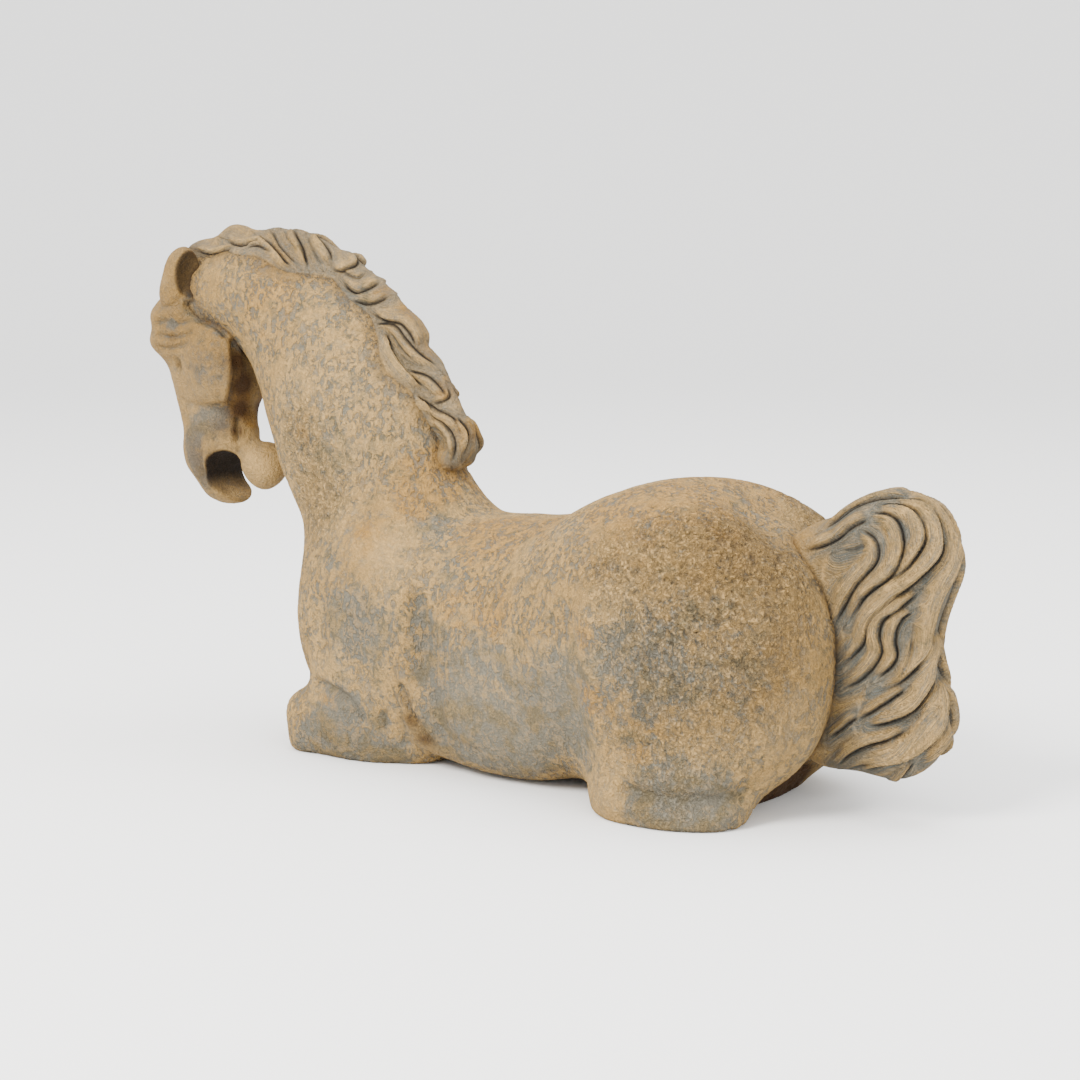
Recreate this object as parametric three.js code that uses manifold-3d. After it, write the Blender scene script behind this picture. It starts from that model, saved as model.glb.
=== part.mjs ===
// A recumbent tomb horse, cast in one piece: millimetres, +Z up, the head towards -X, the flanks along Y.
// The flesh is a blend of rounded masses. Each stretch of skin is found by feeling outwards from an axis
// until the blend ends, so that haunch, barrel, shoulder and neck flow into one another.
// Mane and tail are locks of hair, laid on the skin along curves that are worked out lock by lock.
import * as THREE from "three";
import { mergeVertices } from "three/addons/utils/BufferGeometryUtils.js";
import Module from "manifold-3d";

const wasm = await Module();
wasm.setup();

// Driving dimension: the figure from its brow to the back of its tail. Pose and proportions are shares of it,
// written below as the millimetres of a figure that is MASTER_LENGTH long.
const LENGTH = 811;
const MASTER_LENGTH = 811;

// How finely each form is faceted: rings along its axis, sides round it, and the rings in its two domed ends.
// The reach is how far from the axis the skin is looked for.
const TRUNK = { rings: 30, sides: 26, caps: [7, 2], reach: 260 };
const HEAD = { rings: 16, sides: 18, caps: [3, 3], reach: 120 };
const JAW = { rings: 6, sides: 10, caps: [1, 3], reach: 60 };
const EAR = { rings: 4, sides: 8, caps: [1, 2], reach: 60 };
const FORELEG = { rings: 6, sides: 12, caps: [2, 3], reach: 90 };
const TAIL = { rings: 10, sides: 14, caps: [3, 2], reach: 150 };
const HOLLOW = { around: 10, down: 7 };

// Hair. A lock's width and height are half of its full section, and rings are the sections along it.
// On the neck, starts are places along the trunk's axis, run is the share of the axis that a lock covers,
// and crest and spread are the degrees from the top of the neck where it begins and how far down it swings.
const MANE = { locks: 7, rings: 7, width: 16, height: 11, run: 0.15, crest: 4, starts: [0.97, 0.66], spread: [34, 22] };
const MANE_END = { rings: 4, width: 19, height: 20, run: 0.075, crest: 7, start: 0.605, spread: 12 };
const FORELOCK = { rings: 5, width: 13, height: 11, apart: 9, along: [-334, -350, -366, -380, -392] };
const TAIL_HOOKS = { locks: 4, rings: 10, width: 10, height: 7 };
const TAIL_FALLS = { locks: 6, rings: 7, width: 12, height: 8 };
const LAID_POINTS = 14;
const WAVE = 0.14;

// Across a lock, as shares of its width and height. The crest lies off the middle, so that one side falls
// steeply on to the lock beside it. Along the lock, the root swells over a share of the length, then tapers.
const RIDGE = [[1, -0.6], [0.5, 1], [-0.4, 0.7], [-1, -0.6]];
const SWELL = { root: 0.2, fullness: 1.25, taper: 0.55 };

// Rounding where two masses meet.
const FLESH_ROUNDING = 34;
const TAIL_ROUNDING = 30;
const LEG_ROUNDING = 20;
const HEAD_ROUNDING = 16;
const JAW_ROUNDING = 12;
const EAR_ROUNDING = 10;

// Feeling for the skin: the first coarse step, how often the last step is halved, and the distance either side
// of a point over which the slope of the skin is taken.
const FEEL = { step: 6, halvings: 16, slope: 2 };

const FORWARD = new THREE.Vector3(1, 0, 0);
const SIDE = new THREE.Vector3(0, 1, 0);
const UP = new THREE.Vector3(0, 0, 1);
const BOTH_SIDES = [-1, 1];

const share = (mm) => (mm * LENGTH) / MASTER_LENGTH;
const place = (x, y, z) => new THREE.Vector3(share(x), share(y), share(z));
const curve = (...points) => new THREE.CatmullRomCurve3(points.map((p) => place(...p)));
const { lerp, clamp, degToRad } = THREE.MathUtils;

// A rounded mass: negative inside, positive outside, close to the true distance near its skin.
function mass(centre, radii, lean = 0) {
  const middle = place(...centre);
  const size = place(...radii);
  const turn = new THREE.Quaternion().setFromAxisAngle(SIDE, degToRad(-lean));
  return (point) => {
    const near = point.clone().sub(middle).applyQuaternion(turn).divide(size);
    const reach = near.length();
    if (reach === 0) return -Math.min(size.x, size.y, size.z);
    return (reach * (reach - 1)) / near.divide(size).length();
  };
}

// A tapering limb between two points, flattened sideways by the flat factor.
function limb(from, to, radiusFrom, radiusTo, flat = 1) {
  const start = place(...from);
  const squeeze = (v) => new THREE.Vector3(v.x, v.y / flat, v.z);
  const along = squeeze(place(...to).sub(start));
  return (point) => {
    const p = squeeze(point.clone().sub(start));
    const t = clamp(p.dot(along) / along.lengthSq(), 0, 1);
    return p.addScaledVector(along, -t).length() - share(lerp(radiusFrom, radiusTo, t));
  };
}

const mirrored = (make, [x, y, z], ...rest) => [make([x, y, z], ...rest), make([x, -y, z], ...rest)];

// The blend of several masses: the lowest of them, rounded where two meet.
function blend(masses, rounding) {
  const k = share(rounding);
  const round = (a, b) => {
    const h = Math.max(k - Math.abs(a - b), 0) / k;
    return Math.min(a, b) - (h * h * k) / 4;
  };
  return (point) => masses.map((each) => each(point)).reduce(round);
}

// The point where the flesh ends, felt from a point inside it along one direction.
function feel(flesh, from, direction, reach) {
  const at = (distance) => from.clone().addScaledVector(direction, distance);
  let inside = 0;
  let outside = share(FEEL.step);
  while (outside < share(reach) && flesh(at(outside)) <= 0) {
    inside = outside;
    outside += share(FEEL.step);
  }
  for (let i = 0; i < FEEL.halvings; i++) {
    const middle = (inside + outside) / 2;
    if (flesh(at(middle)) > 0) outside = middle;
    else inside = middle;
  }
  return at(inside);
}

// The outward direction of the skin at a point on it.
function outward(flesh, point) {
  const d = share(FEEL.slope);
  const at = (axis, distance) => flesh(point.clone().addScaledVector(axis, distance));
  return new THREE.Vector3(...[FORWARD, SIDE, UP].map((axis) => at(axis, d) - at(axis, -d))).normalize();
}

// Points on the flesh with their outward directions, felt from a list of {from, direction}.
function lay(rays, flesh, reach) {
  return rays.map(({ from, direction }) => {
    const point = feel(flesh, from, direction, reach);
    return { point, normal: outward(flesh, point) };
  });
}

// A closed skin from rings of points, with a pole at each end.
function closeRings(firstPole, rings, lastPole) {
  const sides = rings[0].length;
  const last = rings.length - 1;
  const points = [firstPole, ...rings.flat(), lastPole];
  const at = (ring, side) => 1 + ring * sides + (side % sides);
  const faces = [];
  for (let j = 0; j < sides; j++) {
    faces.push(0, at(0, j), at(0, j + 1));
    for (let i = 0; i < last; i++) {
      faces.push(at(i, j), at(i + 1, j), at(i, j + 1));
      faces.push(at(i, j + 1), at(i + 1, j), at(i + 1, j + 1));
    }
    faces.push(points.length - 1, at(last, j + 1), at(last, j));
  }
  return new THREE.BufferGeometry().setFromPoints(points).setIndex(faces);
}

function solidOf(geometry) {
  const bare = geometry.clone();
  bare.deleteAttribute("normal");
  bare.deleteAttribute("uv");
  const merged = mergeVertices(bare);
  return new wasm.Manifold(
    new wasm.Mesh({
      numProp: 3,
      vertProperties: new Float32Array(merged.attributes.position.array),
      triVerts: new Uint32Array(merged.index.array),
    }),
  );
}

function ball(centre, radii) {
  const geometry = new THREE.SphereGeometry(1, HOLLOW.around, HOLLOW.down);
  geometry.scale(...place(...radii)).translate(...place(...centre));
  return solidOf(geometry);
}

// A direction square to an axis: 0 is up or forwards of it, a quarter turn is +Y.
function squareTo(axis, u, angle) {
  const up = axis.getTangentAt(u).cross(SIDE).normalize();
  return SIDE.clone().multiplyScalar(Math.sin(angle)).addScaledVector(up, Math.cos(angle));
}

// Skin felt outwards from an axis in the XZ plane: rings along it, and a dome of rings round each end.
// A ring with a tilt leans away from the middle of the axis, as far as the pole at a quarter turn.
function skin(flesh, axis, { rings, sides, reach, caps }) {
  const quarter = Math.PI / 2;
  const ends = [{ u: 0, way: -1 }, { u: 1, way: 1 }];
  const ring = (u, tilt) => {
    const along = axis.getTangentAt(u).multiplyScalar(Math.sin(tilt));
    return Array.from({ length: sides }, (_, j) => {
      const out = squareTo(axis, u, (4 * quarter * j) / sides).multiplyScalar(Math.cos(tilt)).add(along);
      return feel(flesh, axis.getPointAt(u), out, reach);
    });
  };
  const [startPole, endPole] = ends.map(({ u, way }) => {
    return feel(flesh, axis.getPointAt(u), axis.getTangentAt(u).multiplyScalar(way), reach);
  });
  const [startDome, endDome] = ends.map(({ u, way }, end) => {
    const step = (way * quarter) / (caps[end] + 1);
    return Array.from({ length: caps[end] }, (_, i) => ring(u, step * (i + 1)));
  });
  const shaft = Array.from({ length: rings }, (_, i) => ring(i / (rings - 1), 0));
  return solidOf(closeRings(startPole, [...startDome.reverse(), ...shaft, ...endDome], endPole));
}

// One lock of hair: a ridge with a blunt root and a pointed tip, laid along a path of {point, normal}.
function lock(path, { rings, width, height }) {
  const line = new THREE.CatmullRomCurve3(path.map((p) => p.point));
  const sections = Array.from({ length: rings }, (_, i) => {
    const t = (i + 1) / (rings + 1);
    const along = line.getTangentAt(t);
    const across = along.clone().cross(path[Math.round(t * (path.length - 1))].normal).normalize();
    const out = across.clone().cross(along).normalize();
    const rise = Math.sqrt(t / SWELL.root);
    const fade = SWELL.fullness * Math.pow(1 - t, SWELL.taper);
    const swell = share(Math.min(1, rise, fade));
    return RIDGE.map(([a, b]) =>
      line
        .getPointAt(t)
        .addScaledVector(across, a * width * swell)
        .addScaledVector(out, b * height * swell),
    );
  });
  return solidOf(closeRings(line.getPoint(0), sections, line.getPoint(1)));
}

// Rump, barrel, shoulders, chest and neck, with the folded hind legs under the rump.
const trunkAxis = curve(
  [240, 0, 138],
  [150, 0, 134],
  [0, 0, 122],
  [-110, 0, 140],
  [-170, 0, 215],
  [-198, 0, 300],
  [-238, 0, 364],
  [-300, 0, 400],
  [-366, 0, 400],
);

const trunkFlesh = blend(
  [
    ...mirrored(mass, [154, 46, 132], [147, 93, 124]),
    ...mirrored(mass, [198, 54, 84], [88, 70, 74]),
    mass([184, -96, 12], [68, 44, 46]),
    mass([158, 92, 12], [52, 44, 46]),
    mass([150, 0, 146], [120, 78, 108]),
    mass([0, 0, 120], [190, 104, 100]),
    ...mirrored(mass, [20, 58, 57], [150, 46, 55]),
    ...mirrored(mass, [-128, 42, 125], [80, 56, 105], -15),
    mass([-152, 0, 112], [94, 84, 104]),
    limb([-148, 0, 180], [-198, 0, 290], 90, 78, 0.72),
    limb([-198, 0, 290], [-232, 0, 350], 79, 66, 0.72),
    limb([-232, 0, 350], [-288, 0, 402], 66, 47, 0.76),
    limb([-288, 0, 402], [-362, 0, 398], 47, 36, 0.92),
    mass([-332, 0, 414], [46, 22, 27]),
  ],
  FLESH_ROUNDING,
);

// Skull, brow, cheeks, nose and lips, hanging from the poll.
const headFlesh = blend(
  [
    mass([-376, 0, 380], [46, 40, 50]),
    mass([-344, 0, 426], [42, 22, 22]),
    mass([-352, 0, 338], [42, 38, 48]),
    ...mirrored(mass, [-340, 32, 342], [28, 15, 38]),
    ...mirrored(mass, [-396, 26, 364], [23, 15, 20]),
    limb([-386, 0, 350], [-376, 0, 270], 26, 21, 0.95),
    limb([-360, 0, 330], [-356, 0, 292], 38, 32, 0.75),
    mass([-366, 0, 248], [27, 29, 30]),
    mass([-354, 0, 228], [26, 27, 19]),
  ],
  HEAD_ROUNDING,
);

// The head, with a cup-shaped hollow in each corner of the mouth.
function head() {
  const axis = curve([-366, 0, 398], [-366, 0, 350], [-364, 0, 300], [-362, 0, 238]);
  const corners = BOTH_SIDES.map((side) => ball([-337, side * 34, 240], [21, 27, 24]));
  return corners.reduce((solid, corner) => solid.subtract(corner), skin(headFlesh, axis, HEAD));
}

// The lower jaw and the round chin, which rests against the neck.
function chin() {
  const jaw = limb([-364, 0, 318], [-345, 0, 272], 37, 27, 0.7);
  const flesh = blend([jaw, mass([-305, 0, 246], [28, 22, 23])], JAW_ROUNDING);
  return skin(flesh, curve([-356, 0, 310], [-340, 0, 272], [-306, 0, 248]), JAW);
}

// A leaf-shaped ear, hollowed towards the back and the side.
function ear(side) {
  const leaf = mass([-376, side * 34, 418], [20, 12, 29], 12);
  const root = mass([-384, side * 33, 402], [15, 13, 18]);
  const axis = curve([-384, side * 33, 402], [-374, side * 34, 432]);
  const solid = skin(blend([leaf, root], EAR_ROUNDING), axis, EAR);
  return solid.subtract(ball([-358, side * 44, 420], [15, 14, 24]));
}

// The folded foreleg: the shoulder runs down into a forearm that lies flat under the chest.
function foreleg(side) {
  const flesh = blend(
    [
      limb([-98, side * 46, 30], [-188, side * 62, 26], 38, 34, 0.95),
      mass([-194, side * 66, 26], [35, 27, 34]),
      mass([-140, side * 62, 70], [58, 40, 86], 4),
    ],
    LEG_ROUNDING,
  );
  return skin(flesh, curve([-104, side * 46, 36], [-150, side * 56, 36], [-194, side * 62, 26]), FORELEG);
}

// The tail: a broad fall that arches up from the croup and lies against the rump.
const tailFlesh = blend(
  [
    limb([258, 0, 212], [330, 0, 230], 17, 28, 0.8),
    mass([340, 0, 212], [49, 29, 50]),
    mass([320, 0, 150], [42, 32, 70]),
    mass([336, 0, 80], [49, 36, 50]),
    limb([280, 0, 196], [282, 0, 66], 34, 34, 0.7),
  ],
  TAIL_ROUNDING,
);

// The tail's outline from its root over the arch and down to the tip, and the line where it meets the rump.
const tailEdge = curve(
  [262, 0, 226],
  [292, 0, 246],
  [332, 0, 256],
  [366, 0, 246],
  [378, 0, 212],
  [368, 0, 160],
  [362, 0, 124],
  [376, 0, 90],
  [364, 0, 52],
  [338, 0, 36],
);
const rumpEdge = curve([286, 0, 186], [292, 0, 150], [290, 0, 110], [282, 0, 70], [276, 0, 40], [324, 0, 34]);

// A line let down from one point to another, swaying to and fro on the way.
function sway(from, to, amplitude, phase, count) {
  const drop = to.clone().sub(from);
  const aside = new THREE.Vector3(drop.z, 0, -drop.x).normalize();
  return Array.from({ length: count }, (_, i) => {
    const u = (i + 1) / count;
    const swing = share(amplitude) * Math.sin(2 * Math.PI * (u - phase));
    return from.clone().addScaledVector(drop, u).addScaledVector(aside, swing);
  });
}

// Locks that hook over the arch: the outline drawn smaller about the root, then let down to the rump.
function hook(t) {
  const root = tailEdge.getPoint(0);
  const over = Array.from({ length: 6 }, (_, i) => {
    const on = tailEdge.getPointAt(lerp(0.03, lerp(0.37, 0.43, t), i / 5));
    return on.sub(root).multiplyScalar(lerp(0.48, 0.86, t)).add(root);
  });
  return [...over, ...sway(over[5], rumpEdge.getPointAt(lerp(0.06, 0.36, t)), lerp(3, 8, t), 0.1, 4)];
}

// Locks that leave the outer edge lower down and fall to the rump or the tip in a double bend.
function fall(t) {
  const at = lerp(0.47, 0.88, t);
  const start = tailEdge.getPointAt(at).add(place(-12, 0, 0));
  const hold = tailEdge.getPointAt(at + 0.08).add(place(lerp(-17, -8, t), 0, 0));
  return [start, hold, ...sway(hold, rumpEdge.getPointAt(lerp(0.45, 0.91, t)), lerp(10, 5, t), 0.06, 6)];
}

// One lock of the tail, drawn in the XZ plane and laid on the skin of one side.
function tailLock(shape, kind, k, side) {
  const line = new THREE.CatmullRomCurve3(shape(k / (kind.locks - 1))).getSpacedPoints(LAID_POINTS);
  const direction = SIDE.clone().multiplyScalar(side);
  return lock(lay(line.map((from) => ({ from, direction })), tailFlesh, TAIL.reach), kind);
}

function tail() {
  const solids = [skin(tailFlesh, curve([322, 0, 226], [322, 0, 160], [326, 0, 78]), TAIL)];
  for (const side of BOTH_SIDES) {
    for (let k = 0; k < TAIL_HOOKS.locks; k++) solids.push(tailLock(hook, TAIL_HOOKS, k, side));
    for (let k = 0; k < TAIL_FALLS.locks; k++) solids.push(tailLock(fall, TAIL_FALLS, k, side));
  }
  return solids;
}

// A lock that starts on the crest of the neck and swings down one side as it runs back.
function neckLock(kind, start, spread, side) {
  const rays = Array.from({ length: LAID_POINTS }, (_, i) => {
    const v = i / (LAID_POINTS - 1);
    const u = start - kind.run * v;
    const angle = degToRad(kind.crest + spread * (v - WAVE * Math.sin(2 * Math.PI * v)));
    return { from: trunkAxis.getPointAt(u), direction: squareTo(trunkAxis, u, Math.PI + side * angle) };
  });
  return lock(lay(rays, trunkFlesh, TRUNK.reach), kind);
}

// Locks that drift down the neck from its crest, a thick last lock, and a forelock between the ears.
function mane() {
  const solids = [];
  for (const side of BOTH_SIDES) {
    for (let k = 0; k < MANE.locks; k++) {
      const t = k / (MANE.locks - 1);
      solids.push(neckLock(MANE, lerp(...MANE.starts, t), lerp(...MANE.spread, t), side));
    }
    solids.push(neckLock(MANE_END, MANE_END.start, MANE_END.spread, side));
    const brow = FORELOCK.along.map((x) => ({ from: place(x, side * FORELOCK.apart, 395), direction: UP }));
    solids.push(lock(lay(brow, headFlesh, HEAD.reach), FORELOCK));
  }
  return solids;
}

// Everything below the ground plane is cut away, and the origin goes under the middle of the figure.
const ground = new THREE.BoxGeometry(3 * LENGTH, 3 * LENGTH, LENGTH).translate(0, 0, -LENGTH / 2);
const limbs = [...BOTH_SIDES.map(ear), ...BOTH_SIDES.map(foreleg)];
const whole = [skin(trunkFlesh, trunkAxis, TRUNK), head(), chin(), ...limbs, ...tail(), ...mane()].reduce((a, b) => a.add(b)).subtract(solidOf(ground));
const { min, max } = whole.boundingBox();
const body = whole.translate([-(min[0] + max[0]) / 2, -(min[1] + max[1]) / 2, 0]).getMesh();

const geometry = new THREE.BufferGeometry()
  .setAttribute("position", new THREE.BufferAttribute(new Float32Array(body.vertProperties), 3))
  .setIndex(new THREE.BufferAttribute(body.triVerts, 1));

const material = new THREE.MeshStandardMaterial({ color: 0xa98a64, roughness: 0.9, metalness: 0 });
const horse = new THREE.Mesh(geometry, material);
horse.name = "horse";

export default new THREE.Group().add(horse);
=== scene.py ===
"""A resting tomb horse in cast clay: the flesh, the carved hair, the weathered skin and the studio.

The flesh is a blend of rounded masses that is meshed on a fine grid. The locks of mane and tail are carved
into their flesh along drawn edges. Everything is drawn in millimetres from a point under the withers and is
set into the part's frame, in metres, when a mesh is made.
"""
import logging
import math
from dataclasses import dataclass, field, replace
from enum import Enum
from typing import Callable, Iterable, Sequence

import bmesh
import bpy
import numpy as np
from bpy.types import Material, Mesh, Node, NodeSocket, NodeTree, Object
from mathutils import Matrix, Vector
from mathutils.bvhtree import BVHTree


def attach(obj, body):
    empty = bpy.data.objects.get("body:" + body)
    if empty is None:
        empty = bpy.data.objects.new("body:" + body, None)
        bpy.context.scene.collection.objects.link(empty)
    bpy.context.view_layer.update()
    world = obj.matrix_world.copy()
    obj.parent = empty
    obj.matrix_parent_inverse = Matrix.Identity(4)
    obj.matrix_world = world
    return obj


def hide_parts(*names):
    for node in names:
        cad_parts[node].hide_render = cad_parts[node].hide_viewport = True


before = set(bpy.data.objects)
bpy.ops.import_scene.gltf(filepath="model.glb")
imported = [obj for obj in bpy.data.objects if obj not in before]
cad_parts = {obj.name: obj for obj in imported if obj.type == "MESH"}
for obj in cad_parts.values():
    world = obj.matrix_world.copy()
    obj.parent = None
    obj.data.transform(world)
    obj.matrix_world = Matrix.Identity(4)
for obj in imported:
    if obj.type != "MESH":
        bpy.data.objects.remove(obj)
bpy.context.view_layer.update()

LOG = logging.getLogger("tomb_horse")

Array = np.ndarray
Point = tuple[float, float, float]
Pair = tuple[float, float]
Pixel = Pair
Field = Callable[[Array], Array]
Spot = tuple[float, float, float, float]
Places = dict[str, tuple[Spot, ...]]

METRES = 0.001
ORIGIN = np.array([16.5, 0.0, 0.0])
NODE = "horse"
LIT_POINT = (0.0, 0.0, 0.2)
MISS_REACH = 420.0
MISS_STEPS = 120
STROKE_POINTS = 14
STROKE_EVENING = 2
EDGE_EVENING = 6
LOCK_START, LOCK_START_POWER = 0.16, 0.6
LOCK_END, LOCK_END_POWER = 0.28, 0.7
LOCK_LEAST = 0.06
NOISE_ROUGHNESS = 0.55
SPOT_MISS = 4.0


class Side(Enum):
    """The two flanks of the horse."""

    NEAR = -1
    FAR = 1


# Forms


@dataclass(frozen=True)
class Mass:
    """A rounded mass of flesh, leaning about the sideways axis."""

    centre: Point
    radii: Point
    lean: float = 0.0

    def distance(self, at: Array) -> Array:
        """Distance to the mass, negative inside.

        Args:
            at: Points in millimetres, one row each.

        Returns:
            One distance for each point.
        """
        turn = math.radians(-self.lean)
        x, y, z = (at - np.array(self.centre)).T
        across = x * math.cos(turn) + z * math.sin(turn)
        upward = z * math.cos(turn) - x * math.sin(turn)
        rx, ry, rz = self.radii
        near = (across / rx) ** 2 + (y / ry) ** 2 + (upward / rz) ** 2
        slope = (across / rx**2) ** 2 + (y / ry**2) ** 2 + (upward / rz**2) ** 2
        reach = np.sqrt(near)
        return reach * (reach - 1) / np.sqrt(np.maximum(slope, 1e-18))


@dataclass(frozen=True)
class Limb:
    """A tapering limb between two points, flattened sideways."""

    start: Point
    end: Point
    start_radius: float
    end_radius: float
    flat: float = 1.0

    def distance(self, at: Array) -> Array:
        """Distance to the limb, negative inside.

        Args:
            at: Points in millimetres, one row each.

        Returns:
            One distance for each point.
        """
        squeeze = np.array([1.0, 1.0 / self.flat, 1.0])
        along = (np.array(self.end) - np.array(self.start)) * squeeze
        local = (at - np.array(self.start)) * squeeze
        t = np.clip(local @ along / (along @ along), 0, 1)
        radius = self.start_radius + (self.end_radius - self.start_radius) * t
        local = local - t[:, None] * along
        return np.sqrt((local * local).sum(axis=1)) - radius


@dataclass(frozen=True)
class Slot:
    """A round-ended opening that runs right through from side to side, along a path in the long plane."""

    path: tuple[Pair, ...]
    radii: tuple[float, ...]

    def distance(self, at: Array) -> Array:
        """Distance to the opening, negative inside.

        Args:
            at: Points in millimetres, one row each.

        Returns:
            One distance for each point.
        """
        best = np.full(len(at), np.inf)
        stretches = zip(self.path[:-1], self.path[1:], self.radii[:-1], self.radii[1:])
        for (x0, z0), (x1, z1), r0, r1 in stretches:
            part = Limb((x0, 0, z0), (x1, 0, z1), r0, r1)
            best = np.minimum(best, part.distance(at * (1, 0, 1)))
        return best


@dataclass(frozen=True)
class Stroke:
    """A modelling stroke along a path on the skin: a soft groove, or a ridge where its depth is negative."""

    path: Array
    width: float
    depth: float

    def push(self, at: Array) -> Array:
        """How far the skin is pushed in at each point.

        Args:
            at: Points in millimetres, one row each.

        Returns:
            The push in millimetres for each point.
        """
        push = np.zeros(len(at))
        margin = 3 * self.width
        low, high = self.path.min(axis=0) - margin, self.path.max(axis=0) + margin
        near = np.flatnonzero(((at > low) & (at < high)).all(axis=1))
        if len(near):
            push[near] = self.depth * np.exp(-((path_distance(at[near], self.path) / self.width) ** 2))
        return push


@dataclass(frozen=True)
class Drawn:
    """A modelling stroke as it is drawn on the photograph, its width and depth in millimetres."""

    name: str
    pixels: tuple[Pixel, ...]
    width: float
    depth: float


def path_distance(at: Array, path: Array) -> Array:
    """Distance from points to a path of straight stretches.

    Args:
        at: Points, one row each.
        path: The path's corners, one row each.

    Returns:
        One distance for each point.
    """
    best = np.full(len(at), np.inf)
    for a, b in zip(path[:-1], path[1:]):
        along = b - a
        t = np.clip((at - a) @ along / max(along @ along, 1e-9), 0, 1)
        best = np.minimum(best, ((at - a - t[:, None] * along) ** 2).sum(axis=1))
    return np.sqrt(best)


def inside_distance(at: Array, corners: Array) -> Array:
    """How far points lie inside a closed outline on a plane, negative outside.

    Args:
        at: Points on the plane, one row each.
        corners: The outline's corners, one row each.

    Returns:
        One distance for each point.
    """
    closed = np.vstack([corners, corners[:1]])
    inside = np.zeros(len(at), bool)
    for (x0, y0), (x1, y1) in zip(closed[:-1], closed[1:]):
        spans = (y0 > at[:, 1]) != (y1 > at[:, 1])
        if y0 != y1:
            inside ^= spans & (at[:, 0] < x0 + (at[:, 1] - y0) * (x1 - x0) / (y1 - y0))
    return np.where(inside, 1, -1) * path_distance(at, closed)


def mirrored(form: Mass | Limb) -> list[Mass | Limb]:
    """The form and its twin on the other flank."""
    flip = np.array([1, -1, 1])
    if isinstance(form, Mass):
        return [form, replace(form, centre=tuple(flip * form.centre))]
    return [form, replace(form, start=tuple(flip * form.start), end=tuple(flip * form.end))]


def round_union(a: Array, b: Array, rounding: float) -> Array:
    """The lower of two distances, rounded where the forms meet."""
    h = np.maximum(rounding - np.abs(a - b), 0) / rounding
    return np.minimum(a, b) - h * h * rounding / 4


def round_cut(a: Array, tool: Array, rounding: float) -> Array:
    """A form with a tool's form cut from it, the edge rounded."""
    return -round_union(-a, tool, rounding)


def soft_step(value: Array, low: float, high: float) -> Array:
    """A smooth step from 0 at low to 1 at high."""
    t = np.clip((value - low) / (high - low), 0, 1)
    return t * t * (3 - 2 * t)


@dataclass(frozen=True)
class Flesh:
    """A rounded blend of forms."""

    forms: tuple[Mass | Limb, ...]
    rounding: float

    def distance(self, at: Array) -> Array:
        """Distance to the skin, negative inside.

        Args:
            at: Points in millimetres, one row each.

        Returns:
            One distance for each point.
        """
        total = self.forms[0].distance(at)
        for form in self.forms[1:]:
            total = round_union(total, form.distance(at), self.rounding)
        return total


# The photograph's view


@dataclass(frozen=True)
class View:
    """The camera of the photograph, for the scene and for drawing on the skin as the photograph shows it."""

    azimuth: float = 33.0
    elevation: float = 8.5
    distance: float = 2000.0
    target: Point = (0.0, 0.0, 198.06)
    lens: float = 76.667
    sensor: float = 36.0
    frame_width: float = 1080.0

    def axes(self) -> Array:
        """The camera's right, up and backward directions, one row each."""
        a, e = math.radians(self.azimuth), math.radians(self.elevation)
        back = np.array([math.sin(a) * math.cos(e), -math.cos(a) * math.cos(e), math.sin(e)])
        right = np.array([math.cos(a), math.sin(a), 0.0])
        return np.stack([right, np.cross(back, right), back])

    def eye(self) -> Array:
        """The camera's place in millimetres."""
        return np.array(self.target) + self.axes()[2] * self.distance

    def focal(self) -> float:
        """The focal length in pixels of the photograph."""
        return self.lens / self.sensor * self.frame_width

    def rays(self, pixels: Sequence[Pixel]) -> Array:
        """Directions from the camera through places in the photograph.

        Args:
            pixels: Places in the photograph.

        Returns:
            One unit direction for each place.
        """
        right, up, back = self.axes()
        x, y = ((np.array(pixels, float) - self.frame_width / 2) / self.focal()).T
        rays = x[:, None] * right - y[:, None] * up - back
        return rays / np.linalg.norm(rays, axis=1)[:, None]

    def project(self, points: Array) -> Array:
        """Where the photograph shows some points.

        Args:
            points: Points in millimetres, one row each.

        Returns:
            One place in the photograph for each point.
        """
        right, up, back = self.axes()
        local = points - self.eye()
        depth = -(local @ back)
        places = np.stack([local @ right, -(local @ up)], axis=1) / depth[:, None]
        return places * self.focal() + self.frame_width / 2

    def on_plane(self, pixels: Sequence[Pixel], y: float) -> Array:
        """The points of an upright long plane that the photograph shows at some pixels.

        Args:
            pixels: Places in the photograph.
            y: The plane's place across the horse.

        Returns:
            One point for each pixel.
        """
        rays, eye = self.rays(pixels), self.eye()
        return eye + rays * ((y - eye[1]) / rays[:, 1])[:, None]

    def make_camera(self) -> None:
        """Makes the scene's camera."""
        data = bpy.data.cameras.new("camera")
        data.lens, data.sensor_width = self.lens, self.sensor
        camera = bpy.data.objects.new("camera", data)
        camera.location = Vector((self.eye() + ORIGIN) * METRES)
        camera.rotation_mode = "QUATERNION"
        camera.rotation_quaternion = Vector(-self.axes()[2]).to_track_quat("-Z", "Y")
        bpy.context.scene.collection.objects.link(camera)
        bpy.context.scene.camera = camera


VIEW = View()


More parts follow.
